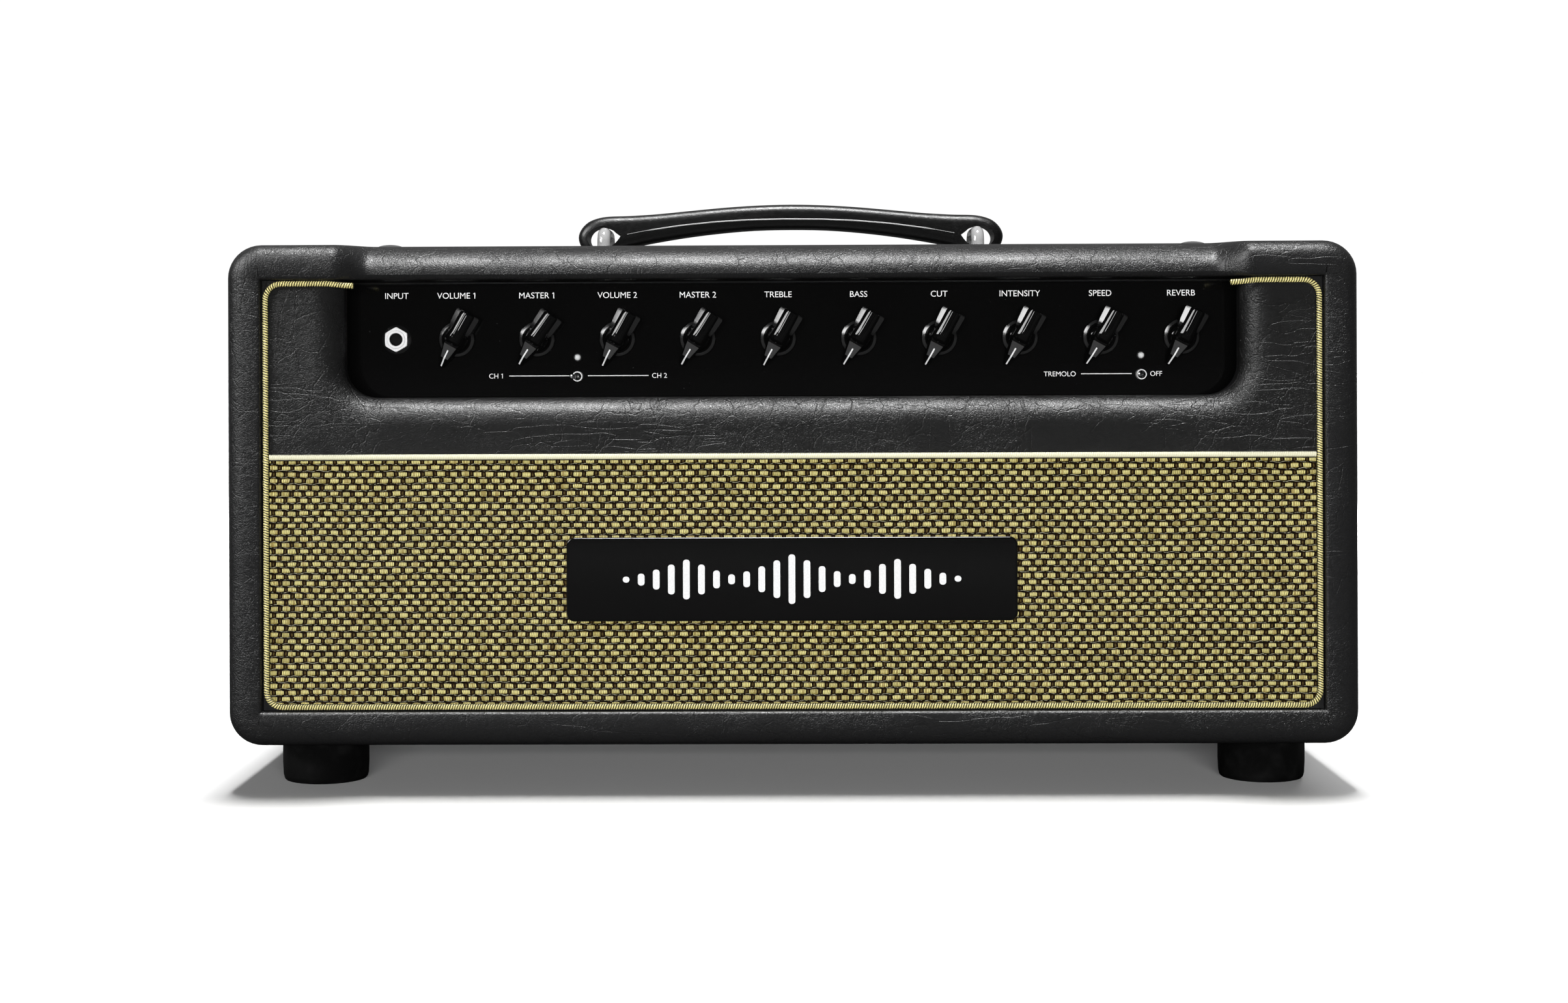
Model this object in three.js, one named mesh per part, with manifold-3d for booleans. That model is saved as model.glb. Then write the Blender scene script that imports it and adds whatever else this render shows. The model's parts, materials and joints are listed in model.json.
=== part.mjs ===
// Guitar amplifier head: a vinyl-covered box cabinet with a recessed control panel,
// ten pointer knobs, a woven grille, a strap handle and rubber feet.
// Millimetres, +Z up. The origin is on the floor under the middle of the cabinet.
// The controls face -Y; +X is to the right of someone who looks at them.
import * as THREE from 'three';
import { mergeVertices } from 'three/addons/utils/BufferGeometryUtils.js';
import Module from 'manifold-3d';

const wasm = await Module();
wasm.setup();

// ---------------------------------------------------------------- driving dimensions
const GAP = 0.3; // left between pieces that touch
const CABINET = { width: 571.5, height: 254, depth: 248, board: 18, corner: 17, edge: 12 };
const FOOT = { radius: 22.25, height: 23, x: 244, y: 77, chamfer: 1.3, screwRadius: 6, screwDepth: 12 };
const RECESS = 5; // baffle face behind the cabinet's front face
const BAFFLE = { thickness: 18, clothStep: 1.8, rim: 4.2, clothTop: 167.6 };
const WINDOW = { halfWidth: 227.7, bottom: 199, corner: 16, lip: 13 };
const SCOOP = { halfWidth: 214, ramp: 10, depth: 10, edge: 14 };
const CLOTH_THICKNESS = 1;
const PIPING = { radius: 1.55, x: 265.5, bottom: 43.2, top: 257, corner: 8, endX: 223.5, divider: 169.3 };
const BADGE = { halfWidth: 113.75, bottom: 86, top: 128.3, corner: 4, thickness: 2 };
const PANEL = { face: -84, thickness: 2, halfWidth: 238, bottom: 195.5, top: 257.6 };
const CHASSIS = { sheet: 1.5, rear: 105, bottom: 198, flange: 33 };
const KNOB = { firstX: -173.6, pitch: 41.75, count: 10, z: 229, height: 16, tip: 16, tail: 15 };
const SHAFT = { radius: 3, bore: 3.16, bushing: 3.9, hole: 4.3, potRadius: 8, potDepth: 9 };
const SWITCH_X = { channel: -110.9, tremolo: 181.3 };
const LED = { z: 219.4, radius: 1.65, hole: 2 };
const TOGGLE = { z: 209.5, bushing: 2.6, bore: 2.05, hole: 3, lever: 9.4, tilt: 12 };
const JACK = { x: -205, z: 229, socket: 3.9, thread: 4.7, hole: 5.1, nut: 6.6, body: 9, depth: 22 };
const STRAP = { width: 26, crown: 26.4, middle: 13.1, loopTop: 20.5, halfLength: 117.2 };
const BRACKET = { x: 102.3, rod: 3.75, top: 13.9, bend: 4 };
const BOLT = { x: 216, front: -38, rear: 62, head: 8, dome: 3.6, shank: 3, hole: 3.4 };
const BACK = { face: 112, thickness: 12, top: 192, slot: [6, 44], slotPitch: 16, slots: 12 };

const ROUND = 16; // sides of a small round piece
const BOTTOM = FOOT.height;
const TOP = BOTTOM + CABINET.height;
const FRONT = -CABINET.depth / 2;
const INSIDE_X = CABINET.width / 2 - CABINET.board;
const INSIDE_BOTTOM = BOTTOM + CABINET.board;
const INSIDE_TOP = TOP - CABINET.board;
const BAFFLE_FACE = FRONT + RECESS;
const CLOTH_FACE = BAFFLE_FACE + BAFFLE.clothStep - GAP - CLOTH_THICKNESS;
const WALL_FACE = PANEL.face + PANEL.thickness + GAP; // front wall of the chassis
const WALL_BACK = WALL_FACE + CHASSIS.sheet;
const BOARD_FACE = WALL_BACK + GAP + SHAFT.potDepth; // circuit board behind the pots

// ---------------------------------------------------------------- looks
const FINISH = {
  vinyl: { color: 0x2a2a2b, roughness: 0.55, metalness: 0 },
  cloth: { color: 0xb8a45c, roughness: 0.9, metalness: 0 },
  gold: { color: 0xd9c468, roughness: 0.45, metalness: 0.2 },
  glossBlack: { color: 0x060606, roughness: 0.12, metalness: 0 },
  rubber: { color: 0x0c0c0c, roughness: 0.7, metalness: 0 },
  chrome: { color: 0xd8dadc, roughness: 0.15, metalness: 1 },
  steel: { color: 0x9a9c9e, roughness: 0.4, metalness: 1 },
  darkSteel: { color: 0x17181a, roughness: 0.5, metalness: 0.6 },
  circuit: { color: 0x1f4a2a, roughness: 0.6, metalness: 0 },
  lens: { color: 0xc9cdcf, roughness: 0.25, metalness: 0 },
  glass: { color: 0xbfc8c6, roughness: 0.1, metalness: 0 },
  plastic: { color: 0x141414, roughness: 0.45, metalness: 0 },
};

// ---------------------------------------------------------------- solids
// A closed solid of a geometry: shared points merged, no slivers, faces outward.
function solid(geometry) {
  const bare = geometry.index ? geometry.toNonIndexed() : geometry.clone();
  bare.deleteAttribute('normal');
  bare.deleteAttribute('uv');
  const merged = mergeVertices(bare, 1e-3);
  const points = merged.attributes.position;
  const corner = [0, 1, 2].map(() => new THREE.Vector3());
  const triangles = [];
  let volume = 0;
  for (let i = 0; i < merged.index.count; i += 3) {
    const ids = [0, 1, 2].map((k) => merged.index.getX(i + k));
    if (new Set(ids).size < 3) continue;
    ids.forEach((id, k) => corner[k].fromBufferAttribute(points, id));
    volume += corner[0].dot(corner[1].clone().cross(corner[2]));
    triangles.push(ids);
  }
  const outward = volume > 0 ? triangles : triangles.map(([a, b, c]) => [a, c, b]);
  return new wasm.Manifold(new wasm.Mesh({
    numProp: 3,
    vertProperties: new Float32Array(points.array),
    triVerts: new Uint32Array(outward.flat()),
  }));
}

function geometryOf(manifold) {
  const mesh = manifold.getMesh();
  const indexed = new THREE.BufferGeometry();
  indexed.setAttribute('position', new THREE.BufferAttribute(mesh.vertProperties, mesh.numProp));
  indexed.setIndex(new THREE.BufferAttribute(mesh.triVerts, 1));
  const flat = indexed.toNonIndexed();
  flat.computeVertexNormals();
  return flat;
}

const join = (pieces) => pieces.reduce((all, piece) => all.add(piece));
const cut = (body, tools) => tools.reduce((left, tool) => left.subtract(tool), body);

// A box between two opposite corners.
function block([x0, y0, z0], [x1, y1, z1]) {
  const box = new THREE.BoxGeometry(x1 - x0, y1 - y0, z1 - z0);
  return solid(box.translate((x0 + x1) / 2, (y0 + y1) / 2, (z0 + z1) / 2));
}

// A turned piece on the vertical axis: profile of [radius, height] pairs.
function turned(profile, sides = ROUND) {
  return new THREE.LatheGeometry(profile.map(([r, h]) => new THREE.Vector2(r, h)), sides);
}

// A turned piece on an axis along Y: profile of [radius, y] pairs, placed at x and z.
const turnedAlongY = (profile, x, z, sides) =>
  solid(turned(profile, sides).translate(x, 0, z));

const rodAlongY = (radius, y0, y1, x, z, sides) =>
  turnedAlongY([[0, y0], [radius, y0], [radius, y1], [0, y1]], x, z, sides);

const rodAlongZ = (radius, z0, z1, x, y, sides = ROUND) =>
  solid(turned([[0, z0], [radius, z0], [radius, z1], [0, z1]], sides).rotateX(Math.PI / 2)
    .translate(x, y, 0));

// A rounded rectangle as a three.js shape.
function roundedShape(x0, y0, x1, y1, r) {
  const shape = new THREE.Shape();
  shape.moveTo(x0 + r, y0);
  shape.lineTo(x1 - r, y0);
  shape.absarc(x1 - r, y0 + r, r, -Math.PI / 2, 0, false);
  shape.lineTo(x1, y1 - r);
  shape.absarc(x1 - r, y1 - r, r, 0, Math.PI / 2, false);
  shape.lineTo(x0 + r, y1);
  shape.absarc(x0 + r, y1 - r, r, Math.PI / 2, Math.PI, false);
  shape.lineTo(x0, y0 + r);
  shape.absarc(x0 + r, y0 + r, r, Math.PI, 1.5 * Math.PI, false);
  return shape;
}

// A shape in x and z, carried along Y from y0 to y1, with rounded-over ends where asked.
function carriedAlongY(shape, y0, y1, bevel = 0, steps = 3, curveSegments = 5) {
  const made = new THREE.ExtrudeGeometry(shape, {
    depth: y1 - y0 - 2 * bevel,
    curveSegments,
    bevelEnabled: bevel > 0,
    bevelThickness: bevel,
    bevelSize: bevel,
    bevelOffset: -bevel,
    bevelSegments: steps,
  });
  return solid(made.rotateX(Math.PI / 2).translate(0, y1 - bevel, 0));
}

// A closed skin over rings of points, all of one length, capped flat at both ends.
function lofted(rings, flatten) {
  const size = rings[0].length;
  const triangles = [];
  for (let i = 0; i + 1 < rings.length; i += 1) {
    for (let k = 0; k < size; k += 1) {
      const next = (k + 1) % size;
      triangles.push(rings[i][k], rings[i][next], rings[i + 1][next]);
      triangles.push(rings[i][k], rings[i + 1][next], rings[i + 1][k]);
    }
  }
  const cap = THREE.ShapeUtils.triangulateShape(rings[0].map(flatten), []);
  const last = rings[rings.length - 1];
  for (const [a, b, c] of cap) {
    triangles.push(rings[0][c], rings[0][b], rings[0][a]);
    triangles.push(last[a], last[b], last[c]);
  }
  return solid(new THREE.BufferGeometry().setFromPoints(triangles));
}

// A round bar along a flat path, whose plane faces the direction given.
function bar(path, radius, facing, bends = 4, sides = 8) {
  const points = path.getPoints(bends).filter(
    (point, i, all) => i === 0 || point.distanceTo(all[i - 1]) > 0.01);
  const rings = points.map((point, i) => {
    const before = points[Math.max(i - 1, 0)];
    const after = points[Math.min(i + 1, points.length - 1)];
    const across = after.clone().sub(before).cross(facing).normalize();
    return Array.from({ length: sides }, (_, k) => {
      const turn = (k / sides) * 2 * Math.PI;
      return point.clone()
        .addScaledVector(across, radius * Math.cos(turn))
        .addScaledVector(facing, radius * Math.sin(turn));
    });
  });
  const cap = new Map(rings[0].map((point, k) => [point, (k / sides) * 2 * Math.PI]));
  return lofted(rings, (point) => {
    const turn = cap.get(point);
    return new THREE.Vector2(Math.cos(turn), Math.sin(turn));
  });
}

// A path of straight runs with rounded corners.
function runs(points, radius) {
  const path = new THREE.CurvePath();
  let from = points[0];
  for (let i = 1; i + 1 < points.length; i += 1) {
    const before = points[i - 1].clone().sub(points[i]).setLength(radius).add(points[i]);
    const after = points[i + 1].clone().sub(points[i]).setLength(radius).add(points[i]);
    path.add(new THREE.LineCurve3(from, before));
    path.add(new THREE.QuadraticBezierCurve3(before, points[i], after));
    from = after;
  }
  path.add(new THREE.LineCurve3(from, points[points.length - 1]));
  return path;
}

// ---------------------------------------------------------------- the assembly
const amp = new THREE.Group();

function place(name, manifold, finish, position = [0, 0, 0], parent = amp) {
  const mesh = new THREE.Mesh(geometryOf(manifold), new THREE.MeshStandardMaterial(FINISH[finish]));
  mesh.name = name;
  mesh.position.set(...position);
  parent.add(mesh);
  return mesh;
}

// ---------------------------------------------------------------- cabinet
// The front top edge is set back between its ends, with a fatter round on it.
function scoop() {
  const clear = 30;
  const profile = [[FRONT - clear, INSIDE_TOP - 8], [FRONT, INSIDE_TOP - 8]];
  const steps = 5;
  for (let i = 0; i <= steps; i += 1) {
    const turn = (i / steps) * (Math.PI / 2);
    profile.push([
      FRONT + SCOOP.edge * (1 - Math.cos(turn)),
      TOP - SCOOP.edge * (1 - Math.sin(turn)),
    ]);
  }
  profile.push([FRONT + SCOOP.edge, TOP + 6], [FRONT - clear, TOP + 6]);
  const stations = [[-1, 1.6], [-0.75, 0.9], [-0.3, 0.1], [0, 0]];
  const ends = stations.map(([out, lift]) => [-SCOOP.halfWidth + out * SCOOP.ramp, lift]);
  const mirrored = ends.map(([x, lift]) => [-x, lift]).reverse();
  const rings = [...ends, ...mirrored].map(([x, lift]) =>
    profile.map(([y, z]) => new THREE.Vector3(x, y + SCOOP.depth * (1 - lift), z)));
  return lofted(rings, (point) => new THREE.Vector2(point.y, point.z));
}

const halfWidth = CABINET.width / 2;
const halfDepth = CABINET.depth / 2;
const outer = carriedAlongY(
  roundedShape(-halfWidth, BOTTOM, halfWidth, TOP, CABINET.corner), FRONT, halfDepth, CABINET.edge);
const boltPlaces = [
  ['front_left', -BOLT.x, BOLT.front],
  ['front_right', BOLT.x, BOLT.front],
  ['rear_left', -BOLT.x, BOLT.rear],
  ['rear_right', BOLT.x, BOLT.rear],
];
const boltHole = ([, x, y]) => rodAlongZ(BOLT.hole, INSIDE_TOP - 6, TOP + 1, x, y, 16);
place('cabinet_shell', cut(outer, [
  block([-INSIDE_X, FRONT - 1, INSIDE_BOTTOM], [INSIDE_X, halfDepth + 1, INSIDE_TOP]),
  scoop(),
  ...boltPlaces.map(boltHole),
]), 'vinyl');

for (const [side, x] of [['left', -FOOT.x], ['right', FOOT.x]]) {
  for (const [end, y] of [['front', -FOOT.y], ['rear', FOOT.y]]) {
    const top = FOOT.height - GAP;
    const profile = [
      [0, FOOT.screwDepth], [FOOT.screwRadius, FOOT.screwDepth], [FOOT.screwRadius, 0],
      [FOOT.radius - 2 * FOOT.chamfer, 0], [FOOT.radius - FOOT.chamfer / 2, FOOT.chamfer],
      [FOOT.radius, top], [0, top],
    ];
    place(`foot_${end}_${side}`, solid(turned(profile, 20).rotateX(Math.PI / 2)), 'rubber', [x, y, 0]);
  }
}

for (const [where, x, y] of boltPlaces) {
  const profile = [
    [0, -27], [BOLT.shank, -27], [BOLT.shank, GAP], [BOLT.head, GAP], [BOLT.head * 0.95, 1.2],
    [BOLT.head * 0.72, 2.5], [BOLT.head * 0.36, 3.3], [0, BOLT.dome],
  ];
  place(`chassis_bolt_${where}`, solid(turned(profile, 12).rotateX(Math.PI / 2)), 'chrome', [x, y, TOP]);
}

// ---------------------------------------------------------------- baffle, cloth, piping, plate
// Rounded opening outline, grown by an amount, at one depth.
function windowRing(y, grow) {
  const outline = roundedShape(
    -WINDOW.halfWidth - grow, WINDOW.bottom - grow, WINDOW.halfWidth + grow, TOP + 40,
    WINDOW.corner + grow * 0.3);
  return outline.getPoints(5).slice(0, -1).map((p) => new THREE.Vector3(p.x, y, p.y));
}

function windowCutter() {
  const back = BAFFLE_FACE + BAFFLE.thickness + 1;
  const rings = [windowRing(BAFFLE_FACE - 1, WINDOW.lip)];
  const steps = 4;
  for (let i = 0; i <= steps; i += 1) {
    const turn = (i / steps) * (Math.PI / 2);
    rings.push(windowRing(
      BAFFLE_FACE + WINDOW.lip * (1 - Math.cos(turn)), WINDOW.lip * (1 - Math.sin(turn))));
  }
  rings.push(windowRing(back, 0));
  return lofted(rings, (point) => new THREE.Vector2(point.x, point.z));
}

const boardX = INSIDE_X - GAP;
const clothX = boardX - BAFFLE.rim;
const clothBottom = INSIDE_BOTTOM + GAP + BAFFLE.rim;
place('front_baffle', cut(
  block([-boardX, BAFFLE_FACE, INSIDE_BOTTOM + GAP],
    [boardX, BAFFLE_FACE + BAFFLE.thickness, INSIDE_TOP - GAP]),
  [
    windowCutter(),
    block([-clothX, BAFFLE_FACE - 1, clothBottom],
      [clothX, BAFFLE_FACE + BAFFLE.clothStep, BAFFLE.clothTop]),
  ]), 'vinyl');

place('grille_cloth', block(
  [-clothX + GAP, CLOTH_FACE, clothBottom + GAP],
  [clothX - GAP, CLOTH_FACE + CLOTH_THICKNESS, BAFFLE.clothTop - GAP]), 'cloth');

const badgeShape = roundedShape(
  -BADGE.halfWidth, BADGE.bottom, BADGE.halfWidth, BADGE.top, BADGE.corner);
place('badge_plate', carriedAlongY(
  badgeShape, CLOTH_FACE - GAP - BADGE.thickness, CLOTH_FACE - GAP, 0.4, 1, 4), 'glossBlack');

const pipingY = BAFFLE_FACE - GAP - PIPING.radius;
const pipingPath = runs([
  [-PIPING.endX, PIPING.top], [-PIPING.x, PIPING.top], [-PIPING.x, PIPING.bottom],
  [PIPING.x, PIPING.bottom], [PIPING.x, PIPING.top], [PIPING.endX, PIPING.top],
].map(([x, z]) => new THREE.Vector3(x, pipingY, z)), PIPING.corner);
place('piping_outer', bar(pipingPath, PIPING.radius, new THREE.Vector3(0, 1, 0)), 'gold');

const dividerEnd = PIPING.x - PIPING.radius - GAP;
place('piping_divider', rodAlongY(PIPING.radius, -dividerEnd, dividerEnd, 0, 0, 12)
  .rotate([0, 0, 90]).translate([0, pipingY, PIPING.divider]), 'gold');

// ---------------------------------------------------------------- handle
// Half of the strap's outline, from the middle to the end, heights above the cabinet.
const strapTop = [
  [0, STRAP.crown], [30, 25.4], [58, 22.9], [80, 20.9], [92, STRAP.loopTop], [102, STRAP.loopTop],
  [110.2, 18.4], [115.2, 14], [STRAP.halfLength, 9.2], [115.7, 4], [111.4, 0.8], [108.4, 0.4],
];
const strapUnder = [[99, 0.6], [92, 3], [80, 5.4], [60, 8.8], [40, 11.2], [20, 12.7]];

function strapOutline() {
  const right = [...strapTop, ...strapUnder];
  const left = right.slice(1).reverse().map(([x, h]) => [-x, h]);
  const all = [...right, [0, STRAP.middle], ...left];
  return new THREE.Shape(all.map(([x, h]) => new THREE.Vector2(x, TOP + h)));
}

const slot = { from: 94.2, to: 112.6, low: 3.9, high: 14.3 };
const slotTool = (sign) => carriedAlongY(
  roundedShape(Math.min(sign * slot.from, sign * slot.to), TOP + slot.low,
    Math.max(sign * slot.from, sign * slot.to), TOP + slot.high, 5.1),
  -STRAP.width, STRAP.width, 0, 1, 4);
place('handle_strap', cut(
  carriedAlongY(strapOutline(), -STRAP.width / 2, STRAP.width / 2, 1.5, 1),
  [slotTool(-1), slotTool(1)]), 'rubber');

for (const [side, x] of [['left', -BRACKET.x], ['right', BRACKET.x]]) {
  const legY = STRAP.width / 2 + GAP + 0.4 + BRACKET.rod;
  const barZ = TOP + BRACKET.top - BRACKET.rod;
  const bent = runs([
    [-legY, TOP + GAP], [-legY, barZ], [legY, barZ], [legY, TOP + GAP],
  ].map(([y, z]) => new THREE.Vector3(x, y, z)), BRACKET.bend);
  place(`handle_bracket_${side}`, bar(bent, BRACKET.rod, new THREE.Vector3(1, 0, 0), 3, 10), 'chrome');
}

// ---------------------------------------------------------------- chassis and control panel
const rows = Array.from({ length: KNOB.count }, (_, i) => KNOB.firstX + i * KNOB.pitch);
const openings = [
  ...rows.map((x) => [SHAFT.hole, x, KNOB.z]),
  ...Object.values(SWITCH_X).map((x) => [LED.hole, x, LED.z]),
  ...Object.values(SWITCH_X).map((x) => [TOGGLE.hole, x, TOGGLE.z]),
  [JACK.hole, JACK.x, JACK.z],
];
const frontHoles = () => openings.map(([r, x, z]) =>
  rodAlongY(r, PANEL.face - 1, WALL_BACK + 1, x, z, 10));

place('control_panel', cut(
  block([-PANEL.halfWidth, PANEL.face, PANEL.bottom],
    [PANEL.halfWidth, PANEL.face + PANEL.thickness, PANEL.top]),
  frontHoles()), 'glossBlack');

const INLET = { x: -186, z: 228, body: [27.6, 20.6], flange: [36, 27], recess: [24.4, 16.8] };
const SWITCHES = { x: -128, z: 228, body: [46, 24], flange: [52, 30], pocket: [20.2, 19.4], apart: 21.6 };
const SPEAKER = { x: 150, z: 228 };
const TUBES = [
  ['power_tube_left', 40, 12, 11.2, 72],
  ['power_tube_right', 84, 12, 11.2, 72],
  ['preamp_tube_left', -84, 12, 10.6, 49],
  ['preamp_tube_right', -44, 12, 10.6, 49],
];
const socketRadius = 9.2;
const chassisTop = INSIDE_TOP - GAP;
const chassisX = PANEL.halfWidth;
const sheet = CHASSIS.sheet;
const rearWall = [CHASSIS.rear - sheet - 1, CHASSIS.rear + 1];
const rearHole = ({ x, z }, [w, h]) => block(
  [x - w / 2 - GAP, rearWall[0], z - h / 2 - GAP], [x + w / 2 + GAP, rearWall[1], z + h / 2 + GAP]);
place('chassis', cut(
  block([-chassisX, WALL_FACE, CHASSIS.bottom], [chassisX, CHASSIS.rear, chassisTop]),
  [
    block([-chassisX + sheet, WALL_BACK, CHASSIS.bottom + sheet],
      [chassisX - sheet, CHASSIS.rear - sheet, chassisTop - sheet]),
    block([-chassisX + CHASSIS.flange, WALL_BACK, chassisTop - 2 * sheet],
      [chassisX - CHASSIS.flange, CHASSIS.rear - sheet, chassisTop + 1]),
    ...frontHoles(),
    rearHole(INLET, INLET.body),
    rearHole(SWITCHES, SWITCHES.body),
    rodAlongY(JACK.hole, ...rearWall, SPEAKER.x, SPEAKER.z, 12),
    ...boltPlaces.map(boltHole),
    ...TUBES.map(([, x, y]) => rodAlongZ(
      socketRadius + GAP, CHASSIS.bottom - 1, CHASSIS.bottom + sheet + 1, x, y, 16)),
  ]), 'steel');

// ---------------------------------------------------------------- pots, shafts and knobs
const pot = [
  [SHAFT.bore, PANEL.face - 0.2], [SHAFT.bushing, PANEL.face - 0.2],
  [SHAFT.bushing, WALL_BACK + GAP], [SHAFT.potRadius, WALL_BACK + GAP],
  [SHAFT.potRadius, BOARD_FACE + 0.4], [SHAFT.bore, BOARD_FACE + 0.4],
  [SHAFT.bore, PANEL.face - 0.2],
];
place('pot_board', join([
  block([-192, BOARD_FACE, 203], [217, BOARD_FACE + 1.6, 247]),
  ...rows.map((x) => turnedAlongY(pot, x, KNOB.z, 12)),
]), 'circuit');

// A pointer knob at minimum, turned 30 degrees left of straight down.
const KNOB_BACK = -0.9; // back face, from the panel face
function knobSolid() {
  const skirt = turnedAlongY([
    [0, KNOB_BACK], [9.8, KNOB_BACK], [9.8, -3.2], [8.4, -4.6], [0, -4.6],
  ], 0, 0, 18);
  const plan = new THREE.Shape();
  plan.moveTo(-4.9, KNOB.tail - 1.2);
  plan.quadraticCurveTo(0, KNOB.tail + 1.2, 4.9, KNOB.tail - 1.2);
  plan.quadraticCurveTo(6.2, 4, 5.4, -4);
  plan.quadraticCurveTo(4.2, -10, 1.6, -KNOB.tip);
  plan.lineTo(-1.6, -KNOB.tip);
  plan.quadraticCurveTo(-4.2, -10, -5.4, -4);
  plan.quadraticCurveTo(-6.2, 4, -4.9, KNOB.tail - 1.2);
  const wing = new THREE.ExtrudeGeometry(plan, {
    depth: 6, curveSegments: 3, bevelEnabled: true, bevelThickness: 6, bevelSize: 1.9,
    bevelOffset: -1.9, bevelSegments: 1,
  });
  const pointer = solid(wing.rotateX(Math.PI / 2).translate(0, -KNOB.height + 12, 0));
  const slope = block([-12, -30, -24], [12, 0, 0]).rotate([-28, 0, 0])
    .translate([0, -KNOB.height, -4.5]);
  const behind = block([-20, -3.4, -20], [20, 20, 20]);
  const bore = rodAlongY(SHAFT.radius + GAP, -13, 1, 0, 0, 10);
  return cut(cut(pointer, [slope, behind]).add(skirt), [bore]);
}

const knob = knobSolid();
const shaft = rodAlongY(SHAFT.radius, -12.6, BOARD_FACE - PANEL.face - 0.4, 0, 0, 12);
const CONTROLS = [
  'volume_1', 'master_1', 'volume_2', 'master_2', 'treble', 'bass', 'cut', 'intensity', 'speed', 'reverb',
];
rows.forEach((x, i) => {
  const control = new THREE.Group();
  control.position.set(x, PANEL.face, KNOB.z);
  control.rotation.y = THREE.MathUtils.degToRad(30);
  amp.add(control);
  place(`knob_${CONTROLS[i]}`, knob, 'glossBlack', [0, 0, 0], control);
  place(`shaft_${CONTROLS[i]}`, shaft, 'steel', [0, 0, 0], control);
});

// ---------------------------------------------------------------- jacks, lamps and switches
const JACK_FRONT = PANEL.face - 4.4;
place('input_jack_body', turnedAlongY([
  [0, WALL_BACK + GAP + JACK.depth], [JACK.body, WALL_BACK + GAP + JACK.depth],
  [JACK.body, WALL_BACK + GAP], [JACK.thread, WALL_BACK + GAP], [JACK.thread, JACK_FRONT],
  [JACK.socket, JACK_FRONT], [JACK.socket, WALL_BACK + JACK.depth - 2],
  [0, WALL_BACK + JACK.depth - 2],
], JACK.x, JACK.z, 20), 'plastic');
place('input_jack_nut', cut(
  rodAlongY(JACK.nut, PANEL.face - 3.2, PANEL.face - GAP, JACK.x, JACK.z, 6),
  [rodAlongY(JACK.hole, PANEL.face - 9, PANEL.face + 1, JACK.x, JACK.z, 20)]), 'chrome');

const lever = turned([
  [0, -1.6], [1.1, -1.3], [1.6, 0], [1.1, 1.2], [0.85, 2.4], [0.95, 4.5], [1.35, 8],
  [1.2, TOGGLE.lever - 0.4], [0, TOGGLE.lever],
], 12).rotateX(Math.PI);
const togglePivot = -2.4; // from the panel face
for (const [name, x] of Object.entries(SWITCH_X)) {
  place(`led_${name}`, turnedAlongY([
    [0, BOARD_FACE - 1], [LED.radius, BOARD_FACE - 1], [LED.radius, PANEL.face - 1],
    [LED.radius * 0.7, PANEL.face - 2.2], [0, PANEL.face - 2.7],
  ], x, LED.z, 14), 'lens');
  const bushing = rodAlongY(
    TOGGLE.bushing, PANEL.face - 3.2, WALL_BACK + 2, x, TOGGLE.z, 16);
  const case_ = block([x - 5.5, WALL_BACK + GAP, TOGGLE.z - 4],
    [x + 5.5, BOARD_FACE - GAP, TOGGLE.z + 4]);
  place(`toggle_body_${name}`, cut(bushing.add(case_), [
    rodAlongY(TOGGLE.bore, PANEL.face - 9, PANEL.face + 1.5, x, TOGGLE.z, 16),
  ]), 'chrome');
  const stick = place(`toggle_lever_${name}`, solid(lever.clone()), 'chrome',
    [x, PANEL.face + togglePivot, TOGGLE.z]);
  stick.rotation.z = THREE.MathUtils.degToRad(-TOGGLE.tilt);
}

// ---------------------------------------------------------------- back and rear fittings
const slots = Array.from({ length: BACK.slots }, (_, i) => (i - (BACK.slots - 1) / 2) * BACK.slotPitch);
const [slotWidth, slotHeight] = BACK.slot;
const slotZ = (INSIDE_BOTTOM + BACK.top) / 2;
place('back_panel', cut(
  block([-boardX, BACK.face - BACK.thickness, INSIDE_BOTTOM + GAP], [boardX, BACK.face, BACK.top]),
  slots.map((x) => block([x - slotWidth / 2, BACK.face - BACK.thickness - 1, slotZ - slotHeight / 2],
    [x + slotWidth / 2, BACK.face + 1, slotZ + slotHeight / 2]))), 'vinyl');

// A fitting in the rear wall: a body through the wall and a flange outside it.
function rearFitting({ x, z, body, flange }, depth) {
  const [bodyX, bodyZ] = body.map((side) => side / 2);
  const [flangeX, flangeZ] = flange.map((side) => side / 2);
  return block([x - bodyX, CHASSIS.rear - depth, z - bodyZ],
    [x + bodyX, CHASSIS.rear + 1, z + bodyZ])
    .add(block([x - flangeX, CHASSIS.rear + GAP, z - flangeZ],
      [x + flangeX, CHASSIS.rear + 2.8, z + flangeZ]));
}

const [recessX, recessZ] = INLET.recess.map((side) => side / 2);
const pins = [[-7, -2], [0, 2], [7, -2]].map(([dx, dz]) => block(
  [INLET.x + dx - 1, CHASSIS.rear - 16, INLET.z + dz - 2],
  [INLET.x + dx + 1, CHASSIS.rear - 1, INLET.z + dz + 2]));
place('mains_inlet', cut(rearFitting(INLET, 22), [
  block([INLET.x - recessX, CHASSIS.rear - 15, INLET.z - recessZ],
    [INLET.x + recessX, CHASSIS.rear + 4, INLET.z + recessZ]),
]).add(join(pins)), 'plastic');

const ROCKER = { pivotY: CHASSIS.rear - 0.5, reach: 9.3, tilt: 8, halfWidth: 9.7 };
const pocketHalf = SWITCHES.pocket.map((side) => side / 2);
const rockerX = [SWITCHES.x - SWITCHES.apart / 2, SWITCHES.x + SWITCHES.apart / 2];
place('switch_housing', cut(rearFitting(SWITCHES, 24), rockerX.map((x) => block(
  [x - pocketHalf[0], CHASSIS.rear - 18, SWITCHES.z - pocketHalf[1]],
  [x + pocketHalf[0], CHASSIS.rear + 5, SWITCHES.z + pocketHalf[1]]))), 'plastic');

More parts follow.
